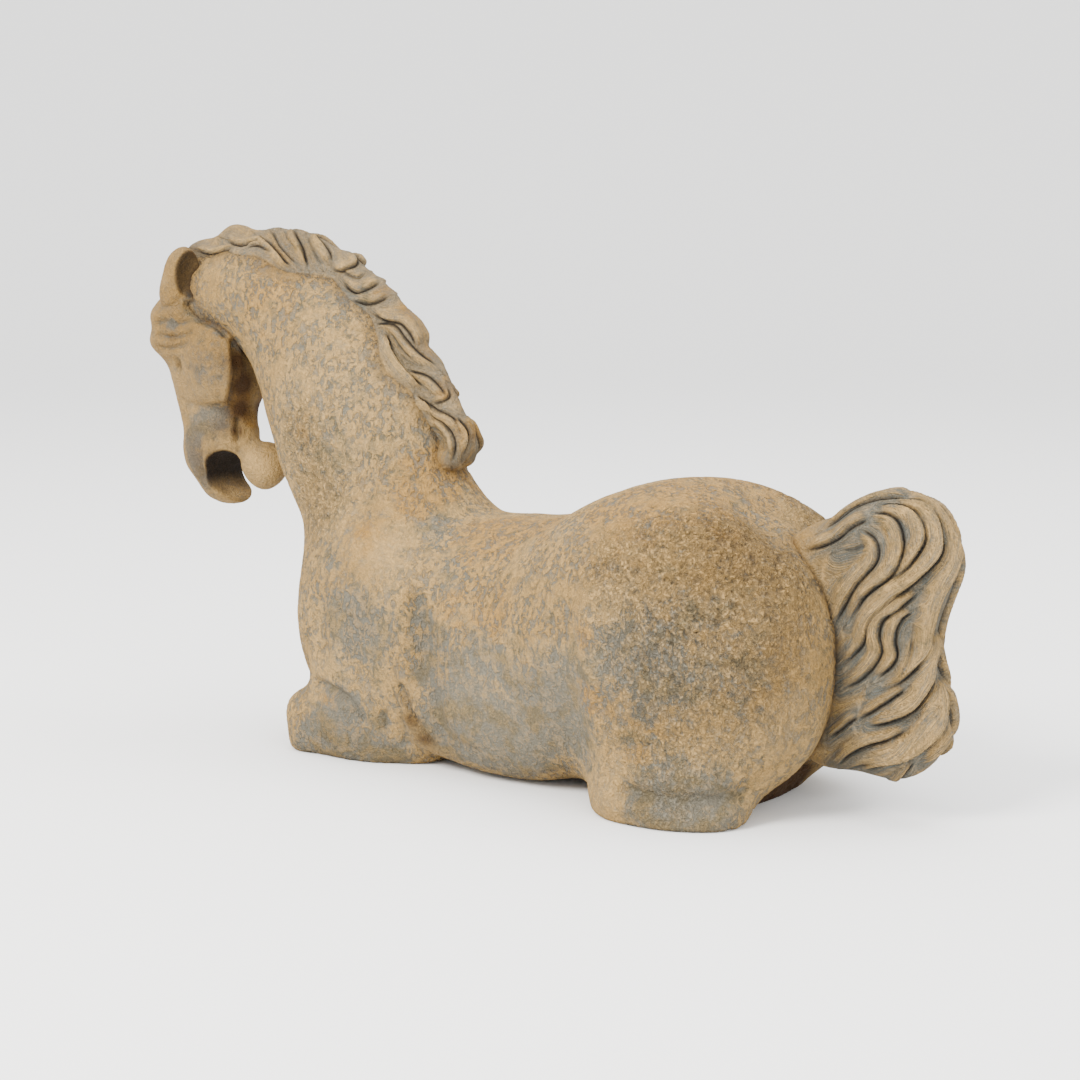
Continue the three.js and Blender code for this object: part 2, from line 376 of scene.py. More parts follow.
class Skin:
    """A meshed skin on which places in the photograph are found."""

    def __init__(self, points: Array, faces: Array) -> None:
        """Takes the mesh of the skin.

        Args:
            points: Points in millimetres, one row each.
            faces: Faces, one row of point numbers each.
        """
        self.tree = BVHTree.FromPolygons(points.tolist(), faces.tolist())

    def cast(self, pixels: Sequence[Pixel]) -> tuple[Array, Array]:
        """Finds the places on the skin that the photograph shows at some pixels.

        Args:
            pixels: Places in the photograph.

        Returns:
            One point and one outward direction for each pixel. A ray that misses the skin gives the place
            that it passes nearest.
        """
        eye = Vector(VIEW.eye())
        places, normals = [], []
        for ray in VIEW.rays(pixels):
            way = Vector(ray)
            place, normal, _, _ = self.tree.ray_cast(eye, way)
            if place is None:
                steps = np.linspace(VIEW.distance - MISS_REACH, VIEW.distance + MISS_REACH, MISS_STEPS)
                nearby = [self.tree.find_nearest(eye + way * float(step)) for step in steps]
                place, normal, _, _ = min(nearby, key=lambda found: found[3])
            places.append(place)
            normals.append(normal)
        return np.array(places, float), np.array(normals, float)

    def strokes(self, drawn: Iterable[Drawn]) -> list[Stroke]:
        """Lays strokes drawn on the photograph on the near flank, with their twins on the far one.

        Args:
            drawn: The strokes as they are drawn.

        Returns:
            The strokes on the skin.
        """
        strokes = []
        for line in drawn:
            path, _ = self.cast(smooth_path(np.array(line.pixels, float), STROKE_POINTS))
            path = relaxed_path(path, STROKE_EVENING)
            strokes += [Stroke(side, line.width, line.depth) for side in (path, path * (1, -1, 1))]
        return strokes


def smooth_path(points: Array, count: int) -> Array:
    """An even, rounded path through a few points.

    Args:
        points: The points, one row each.
        count: How many points the path gets.

    Returns:
        The path.
    """
    ends = np.vstack([2 * points[0] - points[1], points, 2 * points[-1] - points[-2]])
    fine = []
    for p0, p1, p2, p3 in zip(ends[:-3], ends[1:-2], ends[2:-1], ends[3:]):
        t = np.linspace(0, 1, 16, endpoint=False)[:, None]
        bend = 2 * p0 - 5 * p1 + 4 * p2 - p3, 3 * p1 - p0 - 3 * p2 + p3
        fine.append(0.5 * (2 * p1 + (p2 - p0) * t + bend[0] * t**2 + bend[1] * t**3))
    line = np.vstack([*fine, points[-1:]])
    length = np.concatenate([[0], np.cumsum(np.linalg.norm(np.diff(line, axis=0), axis=1))])
    even = np.linspace(0, length[-1], count)
    return np.stack([np.interp(even, length, line[:, k]) for k in range(points.shape[1])], axis=1)


def relaxed_path(path: Array, rounds: int) -> Array:
    """Evens out jumps in a path, its ends kept.

    Args:
        path: The path, one row for each point.
        rounds: How often each point moves to the middle of its neighbours.

    Returns:
        The evened path.
    """
    path = path.copy()
    for _ in range(rounds):
        path[1:-1] = (path[:-2] + 2 * path[1:-1] + path[2:]) / 4
    return path


# Meshing


@dataclass(frozen=True)
class Grid:
    """A box of space that is meshed with cells of one size."""

    low: Point
    high: Point
    cell: float
    block: int = 6
    skin_share: float = 1.3
    skin_margin: float = 4.0
    batch: int = 60000
    away: float = 1e3
    slope_step: float = 0.3
    least_slope: float = 0.2

    def sample(self, surface: Field) -> Array:
        """Measures a field at the grid's corners, in full only near its skin.

        Args:
            surface: The distance field.

        Returns:
            The values, with a large value of the right sign away from the skin.
        """
        low = np.array(self.low)
        count = np.ceil((np.array(self.high) - low) / self.cell).astype(int) + 1
        coarse = count // self.block + 1
        centres = (np.stack(np.meshgrid(*map(np.arange, coarse), indexing="ij"), axis=-1) + 0.5) * self.block
        rough = surface(low + centres.reshape(-1, 3) * self.cell).reshape(coarse)
        near = np.abs(rough) < self.block * self.cell * self.skin_share + self.skin_margin
        for axis in range(3):
            rough, near = rough.repeat(self.block, axis), near.repeat(self.block, axis)
        crop = tuple(slice(0, n) for n in count)
        values = np.sign(rough[crop]) * self.away
        index = np.argwhere(near[crop])
        for part in np.array_split(index, max(1, len(index) // self.batch)):
            values[tuple(part.T)] = surface(low + part * self.cell)
        return values

    def skin(self, surface: Field) -> tuple[Array, Array]:
        """Meshes the skin of a field with one point in each cell that it crosses.

        Args:
            surface: The distance field.

        Returns:
            The points in millimetres and the four-sided faces.
        """
        values = self.sample(surface)
        cells = np.array(values.shape)
        crossings, owners, quads = [], [], []
        for axis in range(3):
            first = values[tuple(slice(0, -1) if k == axis else slice(None) for k in range(3))]
            second = values[tuple(slice(1, None) if k == axis else slice(None) for k in range(3))]
            index = np.argwhere((first < 0) != (second < 0))
            a, b = first[tuple(index.T)], second[tuple(index.T)]
            place = index.astype(float)
            place[:, axis] += a / (a - b)
            beside = np.zeros((4, 3), int)
            beside[1:3, (axis + 1) % 3] = -1
            beside[2:4, (axis + 2) % 3] = -1
            around = np.stack([np.ravel_multi_index((index + off).T, cells) for off in beside], axis=1)
            quads.append(np.where((a < 0)[:, None], around, around[:, ::-1]))
            crossings.append(np.repeat(place, 4, axis=0))
            owners.append(around.ravel())
        names, which = np.unique(np.concatenate(owners), return_inverse=True)
        places = np.concatenate(crossings)
        number = np.bincount(which)
        points = np.stack([np.bincount(which, places[:, k]) / number for k in range(3)], axis=1)
        faces = np.searchsorted(names, np.concatenate(quads))
        return self.settled(surface, np.array(self.low) + points * self.cell), faces

    def settled(self, surface: Field, points: Array) -> Array:
        """Moves points on to a skin along its slope.

        Args:
            surface: The distance field.
            points: The points, one row each.

        Returns:
            The moved points.
        """
        step = self.cell * self.slope_step
        here = surface(points)
        slope = np.stack([surface(points + axis) - here for axis in np.eye(3) * step], axis=1) / step
        steep = np.maximum((slope**2).sum(axis=1), self.least_slope)
        move = np.clip(here / steep, -self.cell / 2, self.cell / 2)
        return points - move[:, None] * slope


def new_mesh(name: str, points: Array, faces: Array | Sequence) -> Mesh:
    """Makes a smooth mesh in the part's frame from points in millimetres.

    Args:
        name: The mesh's name.
        points: Points, one row each.
        faces: Faces, one row of point numbers each.

    Returns:
        The mesh.
    """
    mesh = bpy.data.meshes.new(name)
    mesh.from_pydata((points + ORIGIN) * METRES, [], faces)
    mesh.shade_smooth()
    return mesh


def new_object(name: str, mesh: Mesh) -> Object:
    """Links a new object with the mesh into the scene and returns it."""
    made = bpy.data.objects.new(name, mesh)
    bpy.context.scene.collection.objects.link(made)
    return made


def read(items: Sequence, name: str, width: int = 1, kind: type = np.float32) -> Array:
    """Reads a value, or a row of a width, from each item of a mesh's collection."""
    flat = np.empty(len(items) * width, kind)
    items.foreach_get(name, flat)
    return flat.reshape(-1, width) if width > 1 else flat


def points_of(mesh: Mesh) -> Array:
    """A mesh's points in millimetres, as the forms are drawn."""
    return read(mesh.vertices, "co", 3).astype(float) / METRES - ORIGIN


def set_points(mesh: Mesh, points: Array) -> None:
    """Moves a mesh's points to places given in millimetres."""
    mesh.vertices.foreach_set("co", ((points + ORIGIN) * METRES).astype(np.float32).ravel())
    mesh.update()


def normals_of(mesh: Mesh) -> Array:
    """A mesh's outward directions at its points."""
    return read(mesh.vertices, "normal", 3).astype(float)


def relaxed(mesh: Mesh, values: Array, rounds: int) -> Array:
    """Averages values at a mesh's points with those of their neighbours.

    Args:
        mesh: The mesh whose edges join neighbours.
        values: One row for each point.
        rounds: How often the average is taken.

    Returns:
        The averaged values.
    """
    ends = read(mesh.edges, "vertices", 2, np.int32)
    a, b = ends.T
    size = len(values)
    count = np.maximum(np.bincount(ends.ravel(), minlength=size), 1)[:, None]
    for _ in range(rounds):
        sums = [np.bincount(a, v[b], size) + np.bincount(b, v[a], size) for v in values.T]
        values = (values + np.stack(sums, axis=1) / count) / 2
    return values


def store(mesh: Mesh, name: str, values: Array) -> None:
    """Keeps one value, or one vector, for each point of a mesh as a named attribute."""
    vectors = values.ndim == 2
    kind = "FLOAT_VECTOR" if vectors else "FLOAT"
    attribute = mesh.attributes.get(name) or mesh.attributes.new(name, kind, "POINT")
    attribute.data.foreach_set("vector" if vectors else "value", values.astype(np.float32).ravel())


def kept(mesh: Mesh, name: str) -> Array:
    """The values of a named attribute, or zeros if the mesh has none."""
    if name not in mesh.attributes:
        return np.zeros(len(mesh.vertices))
    return read(mesh.attributes[name].data, "value").astype(float)


def baked(source: Object, name: str) -> Mesh:
    """Turns an object with its modifiers into a plain mesh and removes the object.

    Args:
        source: The object to bake.
        name: The new mesh's name.

    Returns:
        The mesh with the modifiers' result.
    """
    graph = bpy.context.evaluated_depsgraph_get()
    mesh = bpy.data.meshes.new_from_object(source.evaluated_get(graph), depsgraph=graph)
    mesh.name = name
    bpy.data.objects.remove(source)
    return mesh


def split_across(mesh: Mesh, cuts: Sequence[float]) -> list[Mesh]:
    """Cuts a closed skin into closed stretches that show no seam.

    Args:
        mesh: The closed mesh.
        cuts: Where it is cut along its length, in metres, in rising order.

    Returns:
        One mesh for each stretch.
    """
    store(mesh, "outward", normals_of(mesh))
    stretches = []
    for low, high in zip([None, *cuts], [*cuts, None]):
        part = bmesh.new()
        part.from_mesh(mesh)
        cap_mark = part.faces.layers.int.new("cap")
        for place, way in ((low, -1), (high, 1)):
            if place is None:
                continue
            whole = part.verts[:] + part.edges[:] + part.faces[:]
            plane = {"plane_co": (place, 0, 0), "plane_no": (way, 0, 0)}
            bmesh.ops.bisect_plane(part, geom=whole, **plane, clear_outer=True)
        rims = [edge for edge in part.edges if edge.is_boundary]
        caps = bmesh.ops.holes_fill(part, edges=rims, sides=0)["faces"]
        for face in caps:
            face[cap_mark] = 1
        bmesh.ops.triangulate(part, faces=caps)
        stretch = bpy.data.meshes.new(mesh.name)
        part.to_mesh(stretch)
        part.free()
        stretches.append(with_outward_normals(stretch))
    return stretches


def with_outward_normals(mesh: Mesh) -> Mesh:
    """Shades a stretch of skin by its stored directions, and its caps flat.

    Args:
        mesh: A mesh with the attributes "outward" and "cap".

    Returns:
        The same mesh.
    """
    outward = read(mesh.attributes["outward"].data, "vector", 3)
    normals = outward[read(mesh.loops, "vertex_index", kind=np.int32)]
    normals /= np.maximum(np.linalg.norm(normals, axis=1), 1e-9)[:, None]
    for number in np.flatnonzero(read(mesh.attributes["cap"].data, "value", kind=np.int32)):
        face = mesh.polygons[number]
        normals[face.loop_start : face.loop_start + face.loop_total] = face.normal
    mesh.shade_smooth()
    mesh.normals_split_custom_set(normals.tolist())
    for name in ("outward", "cap"):
        mesh.attributes.remove(mesh.attributes[name])
    return mesh


# Node trees


class Value:
    """An output of a node that can be reckoned with, each step a Math node of its own."""

    def __init__(self, nodes: "Nodes", socket: NodeSocket) -> None:
        """Keeps the output, and the helper of its tree."""
        self.nodes, self.socket = nodes, socket

    def __add__(self, other: object) -> "Value":
        """The sum."""
        return self.nodes.math("ADD", self, other)

    def __sub__(self, other: object) -> "Value":
        """The difference."""
        return self.nodes.math("SUBTRACT", self, other)

    def __rsub__(self, other: object) -> "Value":
        """The difference from a plain number."""
        return self.nodes.math("SUBTRACT", other, self)

    def __mul__(self, other: object) -> "Value":
        """The product."""
        return self.nodes.math("MULTIPLY", self, other)

    def __truediv__(self, other: object) -> "Value":
        """The share."""
        return self.nodes.math("DIVIDE", self, other)

    def clamped(self) -> "Value":
        """The same value, held between 0 and 1."""
        self.socket.node.use_clamp = True
        return self


class Nodes:
    """A small helper that adds nodes to a tree and joins them."""

    def __init__(self, tree: NodeTree) -> None:
        """Starts on an empty tree."""
        self.tree = tree
        self.tree.nodes.clear()

    def add(self, kind: str, inputs: dict | None = None, **settings: object) -> Node:
        """Adds a node.

        Args:
            kind: The node's type.
            inputs: Values for its inputs, by name or number.
            settings: Values for the node's own properties.

        Returns:
            The node.
        """
        node = self.tree.nodes.new(kind)
        for key, value in settings.items():
            setattr(node, key, value)
        for key, value in (inputs or {}).items():
            self.join(value, node.inputs[key])
        return node

    def join(self, value: object, socket: NodeSocket) -> None:
        """Links a node's output to a socket, or sets the socket's own value."""
        if isinstance(value, Value):
            self.tree.links.new(value.socket, socket)
        else:
            socket.default_value = value

    def values(self, node: Node, *names: str | int) -> list[Value]:
        """Some outputs of a node."""
        return [Value(self, node.outputs[name]) for name in names]

    def value(self, kind: str, inputs: dict | None = None, out: str | int = 0, **settings: object) -> Value:
        """Adds a node as add does, and returns one of its outputs."""
        return self.values(self.add(kind, inputs, **settings), out)[0]

    def math(self, operation: str, *values: object) -> Value:
        """Adds a Math node on the values and returns its output."""
        return self.value("ShaderNodeMath", dict(enumerate(values)), operation=operation)

    def vector(self, operation: str, *values: object, out: str = "Vector") -> Value:
        """Adds a Vector Math node on the values and returns one of its outputs."""
        return self.value("ShaderNodeVectorMath", dict(enumerate(values)), out, operation=operation)

    def parts(self, vector: Value) -> list[Value]:
        """Adds a node that takes a vector apart and returns its three parts."""
        return self.values(self.add("ShaderNodeSeparateXYZ", {0: vector}), 0, 1, 2)

    def scaled(self, vector: Value, scale: object) -> Value:
        """Adds a node that scales a vector and returns its output."""
        return self.value("ShaderNodeVectorMath", {0: vector, "Scale": scale}, operation="SCALE")

    def remap(self, value: Value, low: object, high: object, to: Pair = (0.0, 1.0)) -> Value:
        """Adds a smooth Map Range node from low..high to the given range and returns its output."""
        inputs = {"Value": value, "From Min": low, "From Max": high, "To Min": to[0], "To Max": to[1]}
        return self.value("ShaderNodeMapRange", inputs, "Result", interpolation_type="SMOOTHSTEP")

    def noise(self, place: Value, size: float, detail: float = 2.0, warp: float = 0.0) -> Value:
        """Adds a noise between 0 and 1 with lumps of a size in metres and returns its output."""
        inputs = {"Vector": place, "Scale": 1.0 / size, "Detail": detail, "Distortion": warp}
        return self.value("ShaderNodeTexNoise", {**inputs, "Roughness": NOISE_ROUGHNESS})

    def named(self, name: str, kind: str = "FLOAT") -> Value:
        """Reads a named attribute of the geometry and returns its values."""
        return self.value("GeometryNodeInputNamedAttribute", {"Name": name}, "Attribute", data_type=kind)

    def kept(self, geometry: Value, name: str, value: object, kind: str = "FLOAT") -> Value:
        """Stores values as a named attribute and returns the geometry."""
        inputs = {"Geometry": geometry, "Name": name}
        node = self.add("GeometryNodeStoreNamedAttribute", inputs, data_type=kind)
        self.join(value, node.inputs["Value"])
        return self.values(node, 0)[0]

    def finish(self, geometry: Value, push: Value, material: Value) -> NodeTree:
        """Ends the tree with a push along the skin's directions, as real geometry with the material."""
        offset = self.scaled(self.value("GeometryNodeInputNormal"), push)
        moved = self.value("GeometryNodeSetPosition", {"Geometry": geometry, "Offset": offset})
        real = self.value("GeometryNodeRealizeInstances", {"Geometry": moved})
        dressed = self.value("GeometryNodeSetMaterial", {"Geometry": real, "Material": material})
        self.add("NodeGroupOutput", {0: dressed})
        return self.tree


def new_tree(name: str, inputs: dict[str, str], lengths: Iterable[str]) -> tuple[Nodes, dict[str, Value]]:
    """Starts a geometry node tree with named inputs.

    Args:
        name: The tree's name.
        inputs: Each input's type by its name.
        lengths: The names of further inputs, which are lengths.

    Returns:
        The helper for the tree, and its inputs by name, with the geometry and the material among them.
    """
    tree = bpy.data.node_groups.new(name, "GeometryNodeTree")
    kinds = {"Geometry": "Geometry", **inputs, **dict.fromkeys(lengths, "Float"), "Material": "Material"}
    for socket, kind in kinds.items():
        tree.interface.new_socket(socket, in_out="INPUT", socket_type=f"NodeSocket{kind}")
    tree.interface.new_socket("Geometry", in_out="OUTPUT", socket_type="NodeSocketGeometry")
    nodes = Nodes(tree)
    source = nodes.add("NodeGroupInput")
    return nodes, {socket.name: Value(nodes, socket) for socket in source.outputs}


def set_inputs(target: Object, tree: NodeTree, values: dict[str, object]) -> None:
    """Puts a node tree on an object with its inputs set.

    Args:
        target: The object.
        tree: The geometry node tree.
        values: The inputs by name, lengths in metres.
    """
    modifier = target.modifiers.new(tree.name, "NODES")
    modifier.node_group = tree
    for item in tree.interface.items_tree:
        if item.in_out == "INPUT" and item.name in values:
            modifier[item.identifier] = values[item.name]


@dataclass(frozen=True)
class Carving:
    """How locks of hair are carved into a skin along drawn edges, with its lengths in metres.

    Each lock rises gently from its valley to a crest and falls off steeply at its edge.
    """

    steepness: float = 0.0017
    tool_mark: float = 0.0015
    cut_depth: float = 0.0013
    wobble: float = 0.0022
    cut_reach: float = 0.0021
    cut_offset: float = 0.0011
    mark_size: float = 0.0019
    waves: float = 55.0
    roundness: float = 1.6

    def inputs(self) -> dict[str, float]:
        """The lengths that are inputs of the tree."""
        return {
            "Steepness": self.steepness,
            "Tool Mark": self.tool_mark,
            "Cut Depth": self.cut_depth,
            "Wobble": self.wobble,
        }

    def build(self) -> NodeTree:
        """Builds the tree.

        The edges are paths that carry, at each point, the lock's number, the direction of its gentle side,
        and a vector of its breadth, its height and the way along it. The far side mirrors the near one.

        Returns:
            The geometry node tree. Its result carries "relief", the height of the hair, "cut", the groove at
            the foot of each crest where the finish paints a shadow line, "gap", the distance to the nearest
            edge, "flow", the place across and along the nearest lock, and "core", which fades out where two
            locks meet.
        """
        nodes, given = new_tree("carved_locks", {"Edges": "Object", "Locks": "Int"}, self.inputs())
        place = nodes.value("GeometryNodeInputPosition")
        x, y, z = nodes.parts(place)
        near = nodes.value("ShaderNodeCombineXYZ", {0: x, 1: nodes.math("ABSOLUTE", y) * -1.0, 2: z})
        waves = {"Vector": place, "Scale": self.waves, "Detail": 1.0}
        drift = nodes.value("ShaderNodeTexNoise", waves, "Color")
        drift = nodes.scaled(nodes.vector("SUBTRACT", drift, (0.5, 0.5, 0.5)), given["Wobble"])
        near = nodes.vector("ADD", near, drift)
        edges = nodes.value("GeometryNodeObjectInfo", {"Object": given["Edges"]}, "Geometry")

        start = nodes.add("GeometryNodeRepeatInput")
        end = nodes.add("GeometryNodeRepeatOutput")
        start.pair_with_output(end)
        (turn,) = nodes.values(start, "Iteration")
        blank = given["Geometry"]
        for name, value in (("relief", 0.0), ("cut", 0.0), ("gap", 1.0), ("second", 1.0)):
            blank = nodes.kept(blank, name, value)
        blank = nodes.kept(blank, "flow", (0.0, 0.0, 0.0), "FLOAT_VECTOR")
        nodes.join(given["Locks"], start.inputs["Iterations"])
        nodes.join(blank, start.inputs["Geometry"])

        own = nodes.math("COMPARE", nodes.named("lock"), turn, 0.5)
        edge = nodes.value("GeometryNodeSeparateGeometry", {"Geometry": edges, "Selection": own})
        ends = {0: edge, "Sample Position": near}
        closest = nodes.add("GeometryNodeProximity", ends, target_element="EDGES")
        foot_place, distance = nodes.values(closest, "Position", "Distance")
        number = nodes.value("GeometryNodeSampleNearest", {"Geometry": edge, "Sample Position": foot_place})

        def sampled(name: str) -> Value:
            """A vector that the edge carries at its nearest point."""
            inputs = {"Geometry": edge, "Index": number}
            node = nodes.add("GeometryNodeSampleIndex", inputs, data_type="FLOAT_VECTOR")
            nodes.join(nodes.named(name, "FLOAT_VECTOR"), node.inputs["Value"])
            return nodes.values(node, 0)[0]

        breadth, height, along = nodes.parts(sampled("size"))
        away = nodes.vector("SUBTRACT", near, foot_place)
        way = nodes.math("SIGN", nodes.vector("DOT_PRODUCT", away, sampled("side"), out="Value"))
        across = distance * way
        ramp = 1.0 - nodes.math("POWER", (across / breadth).clamped(), self.roundness)
        brink = nodes.remap(across, given["Steepness"] * -0.3, given["Steepness"])
        foot = nodes.remap(nodes.math("ABSOLUTE", across + self.cut_offset), self.cut_reach, 0.0)
        foot = foot * nodes.remap(height, 0.0005, 0.0040)
        flow = nodes.value("ShaderNodeCombineXYZ", {0: across, 1: along * 0.05, 2: turn * 0.37})
        closer = nodes.math("LESS_THAN", distance, nodes.named("gap"))
        nearest = nodes.add("GeometryNodeSwitch", {0: closer}, input_type="VECTOR")
        nodes.join(nodes.named("flow", "FLOAT_VECTOR"), nearest.inputs[1])
        nodes.join(flow, nearest.inputs[2])
        (carved,) = nodes.values(start, "Geometry")
        highest = nodes.math("MAXIMUM", nodes.named("relief"), height * (ramp * brink))
        carved = nodes.kept(carved, "relief", highest)
        carved = nodes.kept(carved, "cut", nodes.math("MAXIMUM", nodes.named("cut"), foot))
        carved = nodes.kept(carved, "flow", nodes.values(nearest, 0)[0], "FLOAT_VECTOR")
        farther = nodes.math("MAXIMUM", nodes.named("gap"), distance)
        carved = nodes.kept(carved, "second", nodes.math("MINIMUM", nodes.named("second"), farther))
        carved = nodes.kept(carved, "gap", nodes.math("MINIMUM", nodes.named("gap"), distance))
        nodes.join(carved, end.inputs["Geometry"])

        relief = nodes.named("relief")
        (result,) = nodes.values(end, "Geometry")
        result = nodes.kept(result, "cut", nodes.named("cut") * nodes.remap(relief, 0.0045, 0.0016))
        lead = nodes.named("second") - nodes.named("gap")
        result = nodes.kept(result, "core", nodes.remap(lead, 0.0004, 0.0030))
        marks = nodes.noise(nodes.named("flow", "FLOAT_VECTOR"), self.mark_size) - 0.5
        marks = marks * nodes.remap(relief, 0.0, 0.003, (0.55, 1.0)) * nodes.named("core")
        push = relief + marks * given["Tool Mark"] - nodes.named("cut") * given["Cut Depth"]
        return nodes.finish(result, push, given["Material"])


@dataclass(frozen=True)
class Stipple:
    """The wormy grain of the skin: clusters of short raised ridges, longer upwards than across."""

    size: float = 0.0051
    stretch: Point = (1.0, 1.0, 0.64)
    low: float = 0.44
    high: float = 0.53
    cluster: float = 0.024

    def raised(self, nodes: Nodes, place: Value) -> Value:
        """Adds the grain to a tree.

        Args:
            nodes: The tree.
            place: The place on the piece, in metres.

        Returns:
            1 on the ridges and on smooth skin, and 0 between the ridges.
        """
        grain = nodes.noise(nodes.vector("MULTIPLY", place, self.stretch), self.size, 3.0, 0.9)
        here = nodes.remap(nodes.noise(place, self.cluster), 0.38, 0.54, (0.30, 1.0))
        return 1.0 - nodes.remap(grain, self.high, self.low) * here


STIPPLE = Stipple()


@dataclass(frozen=True)
class Weathering:
    """How a skin is weathered with low lumps, the stippled grain and pits, with its lengths in metres."""

    lump_size: float = 0.03
    pit_size: float = 0.0050
    pit_stretch: Point = (1.0, 1.0, 0.8)
    pit_range: Pair = (0.48, 0.34)

    def build(self) -> NodeTree:
        """Builds the tree.

        The attribute "rough" is the share of grain and "pitted" the share of pits.

        Returns:
            The geometry node tree. Its result carries "pit", the depth share of each pit, and "contact",
            which is high close to a neighbouring piece.
        """
        lengths = ("Lump Height", "Grain Depth", "Pit Depth", "Contact Reach")
        nodes, given = new_tree("weathered_skin", {"Neighbours": "Object"}, lengths)
        place = nodes.value("GeometryNodeInputPosition")
        lump = (nodes.noise(place, self.lump_size, 3.0, 0.3) - 0.5) * given["Lump Height"]
        grain = (STIPPLE.raised(nodes, place) - 0.6) * nodes.named("rough") * given["Grain Depth"]
        pit = nodes.noise(nodes.vector("MULTIPLY", place, self.pit_stretch), self.pit_size, 2.0, 0.8)
        pit = nodes.remap(pit, *self.pit_range) * nodes.named("pitted")
        others = nodes.value("GeometryNodeObjectInfo", {"Object": given["Neighbours"]}, "Geometry")
        gap = nodes.value("GeometryNodeProximity", {0: others}, "Distance", target_element="FACES")
        marked = nodes.kept(given["Geometry"], "contact", nodes.remap(gap, given["Contact Reach"], 0.0))
        marked = nodes.kept(marked, "pit", pit)
        return nodes.finish(marked, lump + grain - pit * given["Pit Depth"], given["Material"])


# Finish


